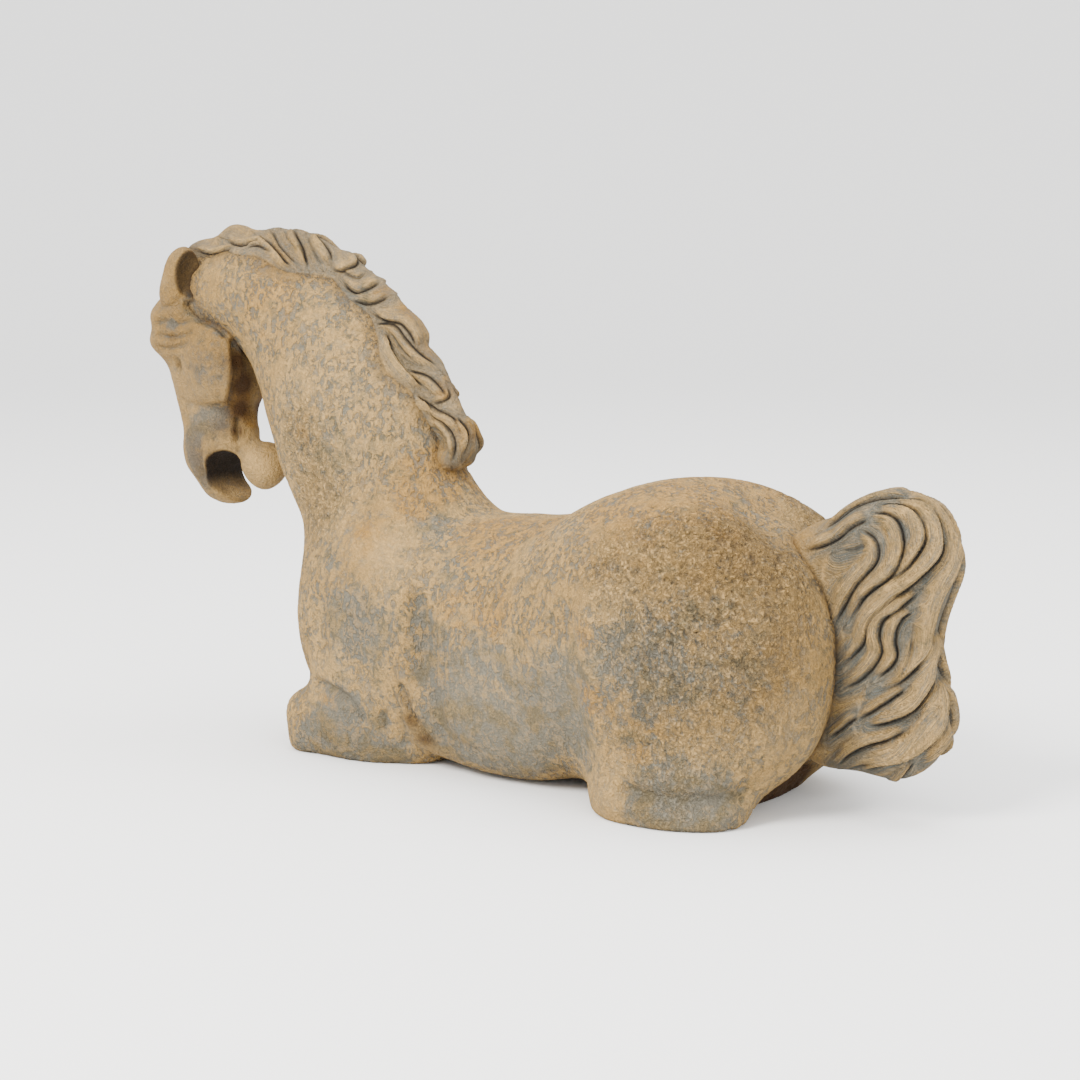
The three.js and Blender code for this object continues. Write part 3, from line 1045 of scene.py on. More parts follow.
@dataclass(frozen=True)
class ClayFinish:
    """Dry cast clay: ochre over a blue-grey wash that stays in valleys, with painted brown shade in creases,
    under overhangs and between pieces, painted near-black shade in the mouth, the ears and at the foot of
    each lock, and painted highlights on the crests.
    """

    tan: tuple = (0.208, 0.121, 0.034, 1)
    pale: tuple = (0.290, 0.186, 0.070, 1)
    wear_and_highlight: tuple = (0.335, 0.218, 0.086, 1)
    ochre: tuple = (0.236, 0.120, 0.020, 1)
    wash: tuple = (0.074, 0.067, 0.044, 1)
    blue: tuple = (0.088, 0.093, 0.082, 1)
    umber: tuple = (0.040, 0.019, 0.006, 1)
    deep_shade: tuple = (0.0050, 0.0022, 0.0008, 1)
    chalk: tuple = (0.300, 0.265, 0.200, 1)
    streak_size: float = 0.0010
    speckle_size: float = 0.0018
    grit_size: float = 0.0025
    bump: float = 0.0021
    shine: float = 0.15
    ochre_share: float = 0.9
    grain_share: float = 0.45
    wear_and_highlight_share: float = 0.85
    wash_share: float = 0.84
    fair_share: float = 0.85
    shade_and_tone_share: float = 0.95
    deep_shade_share: float = 0.96
    chalk_share: float = 0.5

    def clouds_group(self) -> NodeTree:
        """Builds the group that gives the patches and the fine flecks of the finish.

        Returns:
            The shader node group, with the outputs Fine, Patch, Cloud and Blotch.
        """
        tree = bpy.data.node_groups.new("clay_clouds", "ShaderNodeTree")
        sizes = {"Fine": 0.0013, "Patch": 0.024, "Cloud": 0.10, "Blotch": 0.0085}
        for name in sizes:
            tree.interface.new_socket(name, in_out="OUTPUT", socket_type="NodeSocketFloat")
        nodes = Nodes(tree)
        place = nodes.value("ShaderNodeTexCoord", out="Object")
        clouds = {name: nodes.noise(place, size, 3.5, 0.4) for name, size in sizes.items()}
        nodes.add("NodeGroupOutput", clouds)
        return tree

    def build(self) -> Material:
        """Builds the material and returns it."""
        material = bpy.data.materials.new("weathered_clay")
        material.use_nodes = True
        nodes = Nodes(material.node_tree)

        def masks(*names: str) -> list[Value]:
            """Some named attributes of the piece."""
            return [nodes.value("ShaderNodeAttribute", out="Fac", attribute_name=name) for name in names]

        def blend(share: object, a: object, b: object, mode: str = "MIX") -> Value:
            """A mix of two colours."""
            node = nodes.add("ShaderNodeMix", data_type="RGBA", blend_type=mode, clamp_factor=True)
            for number, value in zip((0, 6, 7), (share, a, b)):
                nodes.join(value, node.inputs[number])
            return nodes.values(node, 2)[0]

        clouds = nodes.add("ShaderNodeGroup", node_tree=self.clouds_group())
        fine, patch, cloud, blotch = nodes.values(clouds, "Fine", "Patch", "Cloud", "Blotch")
        place = nodes.value("ShaderNodeTexCoord", out="Object")
        worm = STIPPLE.raised(nodes, place)
        rough, recess, pit, pitted, contact = masks("rough", "recess", "pit", "pitted", "contact")
        grey, warm, fair, shade, dark = masks("grey", "warm", "fair", "shade", "dark")
        valley, crest, hair, cut = masks("valley", "crest", "hair", "cut")
        flow = nodes.value("ShaderNodeAttribute", out="Vector", attribute_name="flow")
        streak = nodes.remap(nodes.noise(flow, self.streak_size, 3.0), 0.35, 0.62)
        speckle = nodes.remap(nodes.noise(place, self.speckle_size, 2.0, 0.6), 0.40, 0.60)
        grit = nodes.noise(place, self.grit_size, 3.0, 0.5)
        drift = (patch - 0.5) * 1.4 + (blotch - 0.5) * 0.6
        low_grain = (1.0 - worm) * (rough * (1.0 - pitted * 0.6).clamped())
        high_grain = worm * rough

        body = blend(nodes.remap(cloud, 0.35, 0.65), self.tan, self.pale)
        body = blend(nodes.remap(warm + drift, 0.20, 0.80) * self.ochre_share, body, self.ochre)
        body = blend(high_grain * self.grain_share, body, self.pale)
        # Painted highlight on the crests of the locks, with the wear of their rubbed tops.
        body = blend(crest * self.wear_and_highlight_share, body, self.wear_and_highlight)
        wash = (
            nodes.remap(grey - drift, 0.22, 0.75) * (1.0 - high_grain * self.grain_share)
            + low_grain * nodes.remap(patch, 0.66, 0.40, (0.65, 1.0))
            # In recesses and pits the wash also stands for painted shade.
            + recess * 0.7
            + pit * 0.3
            + (1.0 - speckle) * nodes.remap(blotch, 0.36, 0.60, (0.30, 0.06))
            + hair * 0.6 * (1.0 - streak)
            + nodes.remap(blotch, 0.42, 0.30, (0.0, 0.3))
        )
        wash = (wash * nodes.remap(fine, 0.3, 0.7, (1.1, 0.8))).clamped()
        stain = blend(nodes.remap(patch, 0.36, 0.54), self.wash, self.blue)
        body = blend(wash * self.wash_share, body, stain)
        body = blend(valley * nodes.remap(streak, 0.0, 1.0, (1.0, 0.7)), body, self.blue)
        # Pale clay on the chin, and painted highlights on rims and edges.
        body = blend(fair * self.fair_share, body, self.pale)
        # Painted shade in the fine crevices of the pitted grain.
        crevice = nodes.remap(grit, 0.50, 0.38) * pitted
        # Brown painted shade from the shade spots, near neighbouring pieces, in fine crevices and in pits,
        # with the head's darker brown tone.
        shade_and_tone = shade + contact * 0.45 + pit * 0.2 + crevice * 0.08
        body = blend((shade_and_tone * self.shade_and_tone_share).clamped(), body, self.umber)
        # Painted near-black shade inside the mouth and the ears, and a painted shadow line at the foot of
        # each lock.
        body = blend(((dark + cut) * self.deep_shade_share).clamped(), body, self.deep_shade)
        # The grain painted darker in its hollows and lighter on its tops as painted shade, times a fine
        # random tone.
        grit_shade = nodes.remap(grit, 0.34, 0.62, (-0.18, 0.14)) * nodes.remap(pitted, 0.0, 0.8, (0.50, 1.0))
        grit_shade_and_tone = (grit_shade + 1.0) * nodes.remap(fine, 0.25, 0.75, (0.85, 1.12))
        grit_shade_and_tone = nodes.value("ShaderNodeCombineColor", {0: grit_shade_and_tone, 1: grit_shade_and_tone, 2: grit_shade_and_tone})
        body = blend(1.0, body, grit_shade_and_tone, "MULTIPLY")
        scuff = nodes.remap(fine, 0.66, 0.74) * nodes.remap(patch, 0.58, 0.70)
        body = blend(scuff * self.chalk_share, body, self.chalk)

        height = (
            high_grain * 0.6
            + nodes.remap(grit, 0.34, 0.62) * nodes.remap(pitted, 0.0, 0.8, (0.35, 1.2))
            + fine * 0.45
            + blotch * 0.5
            + streak * hair * 0.7
        )
        bump = {"Strength": 1.0, "Distance": self.bump, "Height": height}
        shader = nodes.add("ShaderNodeBsdfPrincipled", {
            "Base Color": body,
            "Roughness": nodes.remap(fine, 0.3, 0.7, (0.80, 0.95)),
            "Specular IOR Level": self.shine,
            "Normal": nodes.value("ShaderNodeBump", bump),
        })
        nodes.add("ShaderNodeOutputMaterial", {"Surface": nodes.values(shader, 0)[0]})
        return material


def spotted(skin: Skin, points: Array, places: Places) -> Array:
    """How much of some soft spots each point gets, mirrored to the far side.

    Args:
        skin: The skin that the spots lie on.
        points: Points in millimetres, one row each.
        places: The spots, by the place that they lie on. One that the photograph shows beside this skin lies
            on another piece.

    Returns:
        One amount for each point.
    """
    near = points.copy()
    near[:, 1] = -np.abs(near[:, 1])
    total = np.zeros(len(points))
    for x, y, radius, amount in (spot for spots in places.values() for spot in spots):
        centre, _ = skin.cast([(x, y)])
        if np.abs(VIEW.project(centre)[0] - (x, y)).max() > SPOT_MISS:
            continue
        centre[:, 1] = -np.abs(centre[:, 1])
        total += amount * np.exp(-((near - centre[0]) ** 2).sum(axis=1) / radius**2)
    return total


# The horse


@dataclass
class Body:
    """Rump, barrel, chest, neck and folded legs."""

    grid: Grid = Grid((-418, -148, -8), (320, 148, 464), 4.0)
    rounding: float = 34.0
    leg_rounding: float = 20.0
    crease: float = 7.0
    sole_rounding: float = 3.0
    cuts: tuple[float, ...] = (-0.085, 0.075)

    def trunk(self) -> Flesh:
        """The masses of the trunk, from the rump to the poll."""
        return Flesh((
            *mirrored(Mass((154, 46, 132), (147, 93, 124))),
            *mirrored(Mass((198, 54, 84), (88, 70, 74))),
            Mass((184, -96, 12), (68, 44, 46)),
            Mass((158, 92, 12), (52, 44, 46)),
            Mass((150, 0, 146), (120, 78, 108)),
            # A low mass under the rump, which the paint darkens with shade.
            Mass((180, 8, 10), (52, 70, 24)),
            Mass((0, 0, 120), (190, 104, 100)),
            *mirrored(Mass((20, 58, 57), (150, 46, 55))),
            *mirrored(Mass((-128, 42, 125), (80, 56, 105), -15)),
            Mass((-152, 0, 112), (94, 84, 104)),
            Limb((-148, 0, 180), (-198, 0, 290), 90, 78, 0.72),
            Limb((-198, 0, 290), (-232, 0, 350), 79, 66, 0.72),
            Limb((-232, 0, 350), (-288, 0, 402), 66, 47, 0.76),
            Limb((-288, 0, 402), (-362, 0, 398), 47, 36, 0.92),
            Mass((-332, 0, 414), (46, 22, 27)),
        ), self.rounding)

    def leg(self, side: Side) -> Flesh:
        """One folded foreleg under the shoulder."""
        y = side.value
        return Flesh((
            Limb((-98, y * 46, 30), (-180, y * 62, 27), 38, 32, 0.95),
            Limb((-209, y * 64, 34), (-203, y * 63, 11), 18, 21, 1.15),
            Mass((-140, y * 62, 70), (58, 40, 86), 4),
        ), self.leg_rounding)

    def surface(self) -> Field:
        """The skin of the body before modelling, cut flat at the ground."""
        trunk = self.trunk()
        legs = [self.leg(side) for side in Side]

        def field_at(at: Array) -> Array:
            """Distance to the skin at each point."""
            total = trunk.distance(at)
            for leg in legs:
                total = round_union(total, leg.distance(at), self.crease)
            return round_cut(total, at[:, 2], self.sole_rounding)

        return field_at

    def drawn_strokes(self) -> list[Drawn]:
        """The modelling of the skin."""
        return [
            Drawn("groove behind the shoulder", ((415, 602), (418, 640), (418, 682)), 7.5, 5.5),
            Drawn("fall behind the shoulder", ((424, 600), (428, 660), (434, 720), (446, 750)), 14, 5.0),
            Drawn("edge of the shoulder", ((404, 596), (406, 640), (404, 676)), 7, -3.0),
            Drawn("creases under the shoulder", ((400, 688), (410, 716), (428, 742)), 4.5, 6.0),
            Drawn("second crease", ((396, 700), (402, 726), (408, 744)), 4.0, 3.5),
            Drawn("fold over the forearm", ((316, 682), (336, 691), (349, 701), (361, 719)), 3.6, 5.5),
            Drawn("step under the chest", ((318, 690), (338, 700), (352, 716)), 7, 2.5),
            Drawn("dent in the elbow", ((384, 713), (385, 728)), 2.8, 4.0),
            Drawn("lower edge of the ribs", ((432, 702), (438, 726), (456, 744), (474, 753)), 8, 3.5),
            Drawn("hollow of the flank", ((556, 640), (560, 700), (572, 785)), 22, 7.0),
            Drawn("front edge of the haunch", ((592, 600), (594, 680), (606, 800)), 12, -3.5),
            Drawn("groove over the hind foot", ((626, 792), (662, 801), (704, 803), (744, 796)), 8, 8.5),
            Drawn("fall of the croup", ((774, 500), (794, 511), (812, 521)), 26, 10.0),
            Drawn("ridge of the shoulder", ((352, 545), (392, 560), (402, 600)), 16, -3.0),
            Drawn("fall before the shoulder", ((318, 600), (322, 650)), 12, 4.5),
        ]


@dataclass
class Head:
    """Skull, brow, cheeks, muzzle, jaw and ears."""

    grid: Grid = Grid((-430, -62, 194), (-262, 62, 462), 1.35)
    rounding: float = 16.0
    jaw_rounding: float = 12.0
    crease: float = 5.0
    ear_rounding: float = 10.0
    ear_rim: float = 2.5
    lip_rounding: float = 4.0
    throat_depth: Pair = (0.8, 3.2)
    throat_height: Pair = (212, 236)
    throat_front: Pair = (-334, -325)
    ear_depth: Pair = (0.3, 3.4)
    ear_share: float = 0.8

    def skull(self) -> Flesh:
        """The masses of the skull, from the poll to the lips."""
        return Flesh((
            Mass((-376, 0, 380), (46, 40, 50)),
            Mass((-344, 0, 426), (42, 22, 22)),
            Mass((-352, 0, 338), (42, 38, 48)),
            *mirrored(Mass((-340, 32, 342), (28, 15, 38))),
            *mirrored(Mass((-399, 25, 382), (20, 15, 12))),
            *mirrored(Mass((-399, 26, 358), (21, 14, 13))),
            Limb((-388, 0, 346), (-377, 0, 270), 30, 22, 0.95),
            Limb((-360, 0, 330), (-356, 0, 292), 38, 32, 0.75),
            Mass((-366, 0, 250), (33, 28, 28)),
            Mass((-349, 0, 225), (28, 26, 20)),
        ), self.rounding)

    def jaw(self) -> Flesh:
        """The lower jaw and the curled chin."""
        return Flesh((
            Limb((-364, 0, 318), (-345, 0, 272), 37, 27, 0.7),
            Mass((-306, 0, 247), (23, 18, 19)),
            Mass((-311, 0, 240), (18, 17, 19)),
        ), self.jaw_rounding)

    def mouth(self) -> Slot:
        """The open mouth between the upper lip and the chin."""
        return Slot(((-343, 244), (-340, 235), (-328, 222), (-313, 204), (-303, 186)), (12, 16, 13, 13, 14))

    def hollow(self, side: Side) -> Mass:
        """The inside of one ear."""
        return Mass((-356, side.value * 43, 425), (15, 16, 25), 8)

    def ear(self, side: Side) -> Field:
        """One hollowed ear, as a distance field."""
        y = side.value
        tip, root = Mass((-376, y * 34, 418), (20, 13, 30), 12), Mass((-384, y * 33, 402), (15, 13, 18))
        leaf = Flesh((tip, root), self.ear_rounding)
        hollow = self.hollow(side)
        return lambda at: round_cut(leaf.distance(at), hollow.distance(at), self.ear_rim)

    def darkness(self, at: Array) -> Array:
        """How far inside the mouth or an ear each point lies, from 0 to 1, where the finish paints deep
        shade.
        """
        throat = 1 - soft_step(self.mouth().distance(at), *self.throat_depth)
        throat *= soft_step(at[:, 2], *self.throat_height) * (1 - soft_step(at[:, 0], *self.throat_front))
        ears = np.min([self.hollow(side).distance(at) for side in Side], axis=0)
        return np.maximum(throat, self.ear_share * (1 - soft_step(ears, *self.ear_depth)))

    def poll(self) -> Field:
        """The skull without its ears, under the forelock."""
        return self.skull().distance

    def surface(self) -> Field:
        """The skin of the head before modelling."""
        skull, jaw, mouth = self.skull(), self.jaw(), self.mouth()
        ears = [self.ear(side) for side in Side]

        def field_at(at: Array) -> Array:
            """Distance to the skin at each point."""
            total = round_union(skull.distance(at), jaw.distance(at), self.crease)
            for ear in ears:
                total = round_union(total, ear(at), self.crease)
            return round_cut(total, mouth.distance(at), self.lip_rounding)

        return field_at

    def drawn_strokes(self) -> list[Drawn]:
        """The modelling of the face."""
        return [
            Drawn("fold from the ear", ((184, 292), (181, 299), (172, 306), (162, 308)), 2.8, 1.8),
            Drawn("brow", ((155, 316), (166, 313), (178, 313), (188, 310)), 4.0, -1.8),
            Drawn("hollow under the brow", ((158, 324), (163, 321), (172, 325), (182, 324),
                                            (190, 321)), 3.0, 2.8),
            Drawn("upper lid", ((156, 331), (166, 331), (178, 331), (188, 328)), 3.0, -1.3),
            Drawn("line of the eye", ((160, 334), (168, 337), (180, 337), (191, 332)), 2.0, 2.2),
            Drawn("lower lid", ((156, 342), (168, 343), (180, 341), (187, 338)), 3.0, -1.3),
            Drawn("crease under the eye", ((160, 347), (168, 349), (180, 347), (187, 342)), 2.2, 2.2),
            Drawn("bag under the eye", ((162, 356), (172, 354), (182, 352)), 3.0, -1.0),
            Drawn("corner of the eye", ((178, 361), (179, 369)), 2.8, 3.2),
            Drawn("groove over the cheek", ((189, 306), (196, 315), (208, 320), (218, 325),
                                            (225, 334)), 4.2, 7.0),
            Drawn("upper edge of the cheek", ((192, 323), (204, 329), (216, 332), (223, 341)), 3.4, -2.2),
            Drawn("edge of the cheek", ((227, 342), (229, 368), (224, 398)), 3.6, -3.8),
            Drawn("fall behind the cheek", ((235, 344), (237, 374), (231, 402)), 4.2, 6.5),
            Drawn("fall under the cheek", ((188, 406), (206, 410), (224, 406)), 6.0, 3.6),
            Drawn("side of the nose", ((182, 400), (190, 430), (196, 452)), 5.0, 2.2),
            Drawn("crease before the jaw", ((237, 420), (237, 440)), 3.0, 6.0),
            Drawn("rim over the mouth", ((205, 466), (208, 448), (222, 441), (236, 448)), 3.0, -2.2),
            Drawn("line beside the nostril", ((196, 430), (200, 450), (203, 476)), 3.0, 2.2),
        ]


@dataclass(frozen=True)
class Lock:
    """One lock, drawn along its edge with the steep side to the left of travel.

    The edge is in pixels of the photograph, the breadth and the height are in millimetres.
    """

    name: str
    edge: tuple[Pixel, ...]
    breadth: float
    height: float


def lock_edges(name: str, skin: Skin, locks: Sequence[Lock], sections: int = 72) -> Object:
    """Lays the edges of some locks on a skin.

    Args:
        name: The name of the object that is made.
        skin: The skin under the hair.
        locks: The locks.
        sections: How many points each edge gets.

    Returns:
        An object whose mesh is made of one path for each lock.
    """
    points, edges, numbers, sides, sizes = [], [], [], [], []
    share = np.linspace(0, 1, sections)
    swell = (share / LOCK_START) ** LOCK_START_POWER
    swell = np.clip(np.minimum(swell, ((1 - share) / LOCK_END) ** LOCK_END_POWER), LOCK_LEAST, 1)
    for number, lock in enumerate(locks):
        path, normal = skin.cast(smooth_path(np.array(lock.edge, float), sections))
        path, normal = relaxed_path(path, EDGE_EVENING), relaxed_path(normal, 2 * EDGE_EVENING)
        travel = np.gradient(path, axis=0)
        side = np.cross(travel, normal)
        side /= np.maximum(np.linalg.norm(side, axis=1), 1e-9)[:, None]
        along = np.concatenate([[0], np.cumsum(np.linalg.norm(np.diff(path, axis=0), axis=1))])
        edges += [(number * sections + i, number * sections + i + 1) for i in range(sections - 1)]
        points.append(path)
        numbers.append(np.full(sections, number))
        sides.append(side)
        sizes.append(np.stack([lock.breadth * swell**0.5, lock.height * swell, along], axis=1) * METRES)
    mesh = bpy.data.meshes.new(name)
    mesh.from_pydata((np.vstack(points) + ORIGIN) * METRES, edges, [])
    store(mesh, "lock", np.concatenate(numbers).astype(float))
    store(mesh, "side", np.vstack(sides))
    store(mesh, "size", np.vstack(sizes))
    return new_object(name, mesh)


@dataclass
class Tail:
    """A broad fall of wavy locks that arches up from the croup."""

    grid: Grid = Grid((208, -62, 12), (408, 62, 284), 1.2)
    rounding: float = 30.0
    inset: float = 2.6
    unwashed: Pair = (256, 300)

    def surface(self) -> Field:
        """The mass of hair under the locks."""
        flesh = Flesh((
            Limb((234, 0, 198), (330, 0, 229), 15, 28, 0.8),
            Mass((340, 0, 212), (49, 29, 50)),
            Mass((320, 0, 150), (42, 32, 70)),
            Mass((336, 0, 80), (49, 36, 50)),
            Limb((344, 0, 176), (346, 0, 104), 20, 20, 0.9),
            Limb((280, 0, 196), (282, 0, 66), 34, 34, 0.7),
        ), self.rounding)
        return lambda at: flesh.distance(at) + self.inset

    def washed(self, at: Array) -> Array:
        """How much wash each point keeps, which fades out towards the root."""
        return soft_step(at[:, 0], *self.unwashed)

    def locks(self) -> list[Lock]:
        """The locks of the near side, from the root down."""
        return [
            Lock("hollow curl", ((861, 531), (875, 540), (878, 556), (869, 571), (855, 587), (844, 605),
                                 (832, 627)), 15, 6),
            Lock("hollow ridge", ((874, 542), (848, 549), (838, 552)), 7, 2.2),
            Lock("root lower edge", ((868, 518), (850, 528), (833, 541), (804, 551)), 12, 5),
            Lock("second curl", ((872, 514), (892, 517), (902, 533), (902, 553), (890, 577), (865, 596),
                                 (848, 622)), 15, 6),
            Lock("third curl", ((880, 505), (908, 509), (922, 524), (924, 542), (909, 565),
                                (889, 581)), 13, 6),
            Lock("tool line", ((908, 508), (914, 530), (914, 542)), 5, 2),
            Lock("great wave", ((896, 499), (920, 504), (936, 520), (941, 551), (921, 577), (894, 598),
                                (870, 622), (863, 643), (838, 668)), 15, 7.5),
            Lock("root upper edge", ((905, 497), (880, 498), (858, 506), (840, 518), (822, 530)), 12, 5),
            Lock("outer rim", ((900, 487), (918, 489), (936, 499), (954, 530), (955, 566), (938, 603),
                               (931, 628), (926, 654), (901, 681), (874, 692)), 19, 6.5),
            Lock("middle wave", ((918, 592), (898, 609), (883, 619), (878, 635), (881, 654), (862, 677),
                                 (840, 689)), 13, 6),
            Lock("middle twin", ((912, 611), (899, 622), (894, 641), (895, 659), (874, 680)), 12, 5.5),
            Lock("thin strand", ((912, 634), (908, 656), (901, 673), (886, 684)), 7, 2.8),
            Lock("lower sweep", ((938, 630), (933, 658), (930, 684), (913, 711), (878, 724),
                                 (868, 725)), 17, 7.5),
            Lock("lower strand", ((905, 688), (884, 703), (856, 721)), 9, 4.2),
            Lock("lower end", ((858, 716), (842, 727), (828, 738)), 8, 3.8),
            Lock("bottom sweep", ((941, 680), (943, 708), (938, 731), (914, 754), (876, 766),
                                  (864, 770)), 24, 8),
            Lock("bottom strand", ((906, 729), (890, 738), (870, 743), (851, 753), (835, 766)), 11, 5.2),
            Lock("bottom line", ((930, 712), (913, 733), (895, 753), (865, 763), (838, 770)), 8, 3.2),
            Lock("far bottom", ((951, 700), (949, 733), (932, 757), (921, 764)), 14, 6),
            Lock("tip swirl", ((912, 762), (901, 777), (888, 779)), 9, 3.4),
        ]


@dataclass
class Mane:
    """Wavy locks along the crest of the neck, and a forelock between the ears."""

    grid: Grid = Grid((-404, -66, 214), (-22, 66, 474), 1.25)
    comb_radius: float = 12.0
    comb_flat: float = 0.85
    blend: float = 9.0
    lift: float = 1.6
    sink: float = 4.0
    edge_fade: Pair = (-7.0, 3.0)
    margin: float = 9.0
    comb_rounding: float = 6.0
    neck_rounding: float = 8.0
    lump_side: float = -9.0
    lumps: tuple[tuple[Pixel, float], ...] = (((460, 446), 7.5), ((455, 457), 8.0), ((447, 458), 6.5))
    wash: float = 0.6
    crest: tuple[Pixel, ...] = (
        (196, 243), (204, 241), (213, 240), (221, 236), (228, 230), (236, 226), (246, 228), (256, 232),
        (266, 232), (278, 229), (290, 232), (302, 233), (314, 236), (325, 243), (336, 250), (348, 253),
        (357, 260), (364, 270), (372, 275), (382, 283), (394, 295), (405, 309), (415, 323), (422, 336),
        (426, 348), (436, 360), (444, 372), (449, 385), (456, 400), (462, 414), (468, 424), (472, 434),
        (473, 444),
    )
    lower_edge: tuple[Pixel, ...] = (
        (192, 250), (204, 255), (228, 252), (240, 255), (252, 256), (262, 259), (274, 267), (288, 272),
        (304, 274), (320, 276), (334, 279), (340, 288), (350, 300), (360, 307), (369, 314), (374, 325),
        (378, 340), (380, 358), (386, 372), (398, 382), (410, 390), (417, 402), (424, 416), (432, 428),
        (440, 440), (439, 456), (444, 468), (462, 470), (472, 462),
    )
    outside: tuple[Pixel, ...] = ((520, 470), (520, 190), (170, 190), (176, 244))

    def comb(self) -> Flesh:
        """The crest of the mane with the lump at its end."""
        line = VIEW.on_plane(self.crest, 0.0)
        travel = np.gradient(line, axis=0)
        travel /= np.linalg.norm(travel, axis=1)[:, None]
        inward = np.stack([travel[:, 2], 0 * travel[:, 0], -travel[:, 0]], axis=1)
        line = line + inward * self.comb_radius
        limbs = [Limb(tuple(a), tuple(b), self.comb_radius, self.comb_radius, self.comb_flat)
                 for a, b in zip(line[:-1], line[1:])]
        lumps = [Mass(tuple(VIEW.on_plane([pixel], self.lump_side)[0]), (radius, radius * 1.1, radius * 1.2))
                 for pixel, radius in self.lumps]
        return Flesh((*limbs, *(form for lump in lumps for form in mirrored(lump))), self.comb_rounding)

    def surface(self, neck: Field) -> Field:
        """The bed of the mane: the crest and a band of neck that is raised under the locks.

        Args:
            neck: The skin of neck and poll.

        Returns:
            The skin of the bed.
        """
        comb = self.comb()
        outline = np.array(self.lower_edge + self.outside, float)

        def field_at(at: Array) -> Array:
            """Distance to the skin at each point."""
            near = at.copy()
            near[:, 1] = -np.abs(near[:, 1])
            inside = inside_distance(VIEW.project(near), outline)
            rise = -self.sink + (self.lift + self.sink) * soft_step(inside, *self.edge_fade)
            total = round_union(neck(at) - rise, comb.distance(at), self.blend)
            return np.maximum(total, -(inside + self.margin))

        return field_at

    def washed(self, at: Array) -> Array:
        """How much wash each point keeps."""
        return np.full(len(at), self.wash)

    def locks(self) -> list[Lock]:
        """The locks of the near side, from the forelock to the withers."""
        return [
            Lock("forelock edge", ((232, 248), (213, 254), (193, 249)), 10, 4.2),
            Lock("outer end strand", ((466, 416), (477, 434), (478, 452)), 9, 3.6),
            Lock("poll lump", ((264, 240), (251, 243), (239, 245), (227, 240)), 13, 4),
            Lock("poll curl", ((257, 236), (272, 248), (284, 262), (293, 269)), 9, 4.6),
            Lock("poll hollow", ((274, 253), (256, 245), (246, 248)), 6, 3.8),
            Lock("first crest strand", ((268, 229), (282, 250), (299, 268)), 9, 3.0),
            Lock("second crest strand", ((282, 230), (293, 248), (300, 258)), 7, 2.0),
            Lock("third crest strand", ((292, 229), (301, 248), (308, 268)), 11, 4.2),
            Lock("fourth crest strand", ((306, 236), (313, 252), (322, 268)), 7, 2.2),
            Lock("crest lump", ((314, 234), (328, 252), (331, 264)), 11, 4.2),
            Lock("crest ring", ((350, 253), (357, 262), (343, 271), (332, 268)), 11, 4.4),
            Lock("ring fold", ((365, 272), (357, 277), (340, 270)), 8, 2.6),
            Lock("upper lock", ((380, 281), (364, 290), (354, 291), (341, 278)), 12, 3.8),
            Lock("second lock", ((389, 296), (370, 303), (350, 299)), 13, 3.6),
            Lock("third lock", ((418, 346), (405, 325), (386, 320), (370, 310)), 12, 4.4),
            Lock("middle wave", ((376, 325), (395, 327), (406, 341), (422, 356), (438, 369)), 9, 5.2),
            Lock("hanging wave", ((386, 334), (392, 353), (402, 369), (417, 383), (426, 388)), 9, 5.4),
            Lock("thin strand", ((392, 334), (403, 351), (420, 364)), 5, 2.4),
            Lock("lower wave", ((408, 371), (428, 378), (442, 392), (446, 401)), 9, 4.4),
            Lock("lower hook", ((447, 388), (448, 398), (431, 404)), 8, 3.4),
            Lock("end wave", ((416, 396), (436, 411), (454, 420), (461, 438)), 9, 5.2),
            Lock("end curl", ((428, 414), (446, 426), (454, 443), (452, 462)), 9, 5.4),
            Lock("last strand", ((456, 417), (467, 433), (463, 456)), 10, 4.2),
        ]


@dataclass
class Piece:
    """What sets one piece apart when it is dressed, its lengths in millimetres.

    Recesses are found against a skin that is relaxed "blur" times, and are full where they are "reach" deep.
    """

    name: str
    mesh: Mesh
    skin: Skin
    blur: int
    reach: float
    rough: float
    lump: float
    grain: float
    pits: float
    contact: float
    washed: Field = lambda at: np.ones(len(at))
    darkened: float = 0.0
    darkness: Field = lambda at: np.zeros(len(at))

    def inputs(self) -> dict[str, float]:
        """The lengths for its weathering, in metres."""
        return {
            "Lump Height": self.lump * METRES,
            "Grain Depth": self.grain * METRES,
            "Pit Depth": self.pits * METRES,
            "Contact Reach": self.contact * METRES,
        }


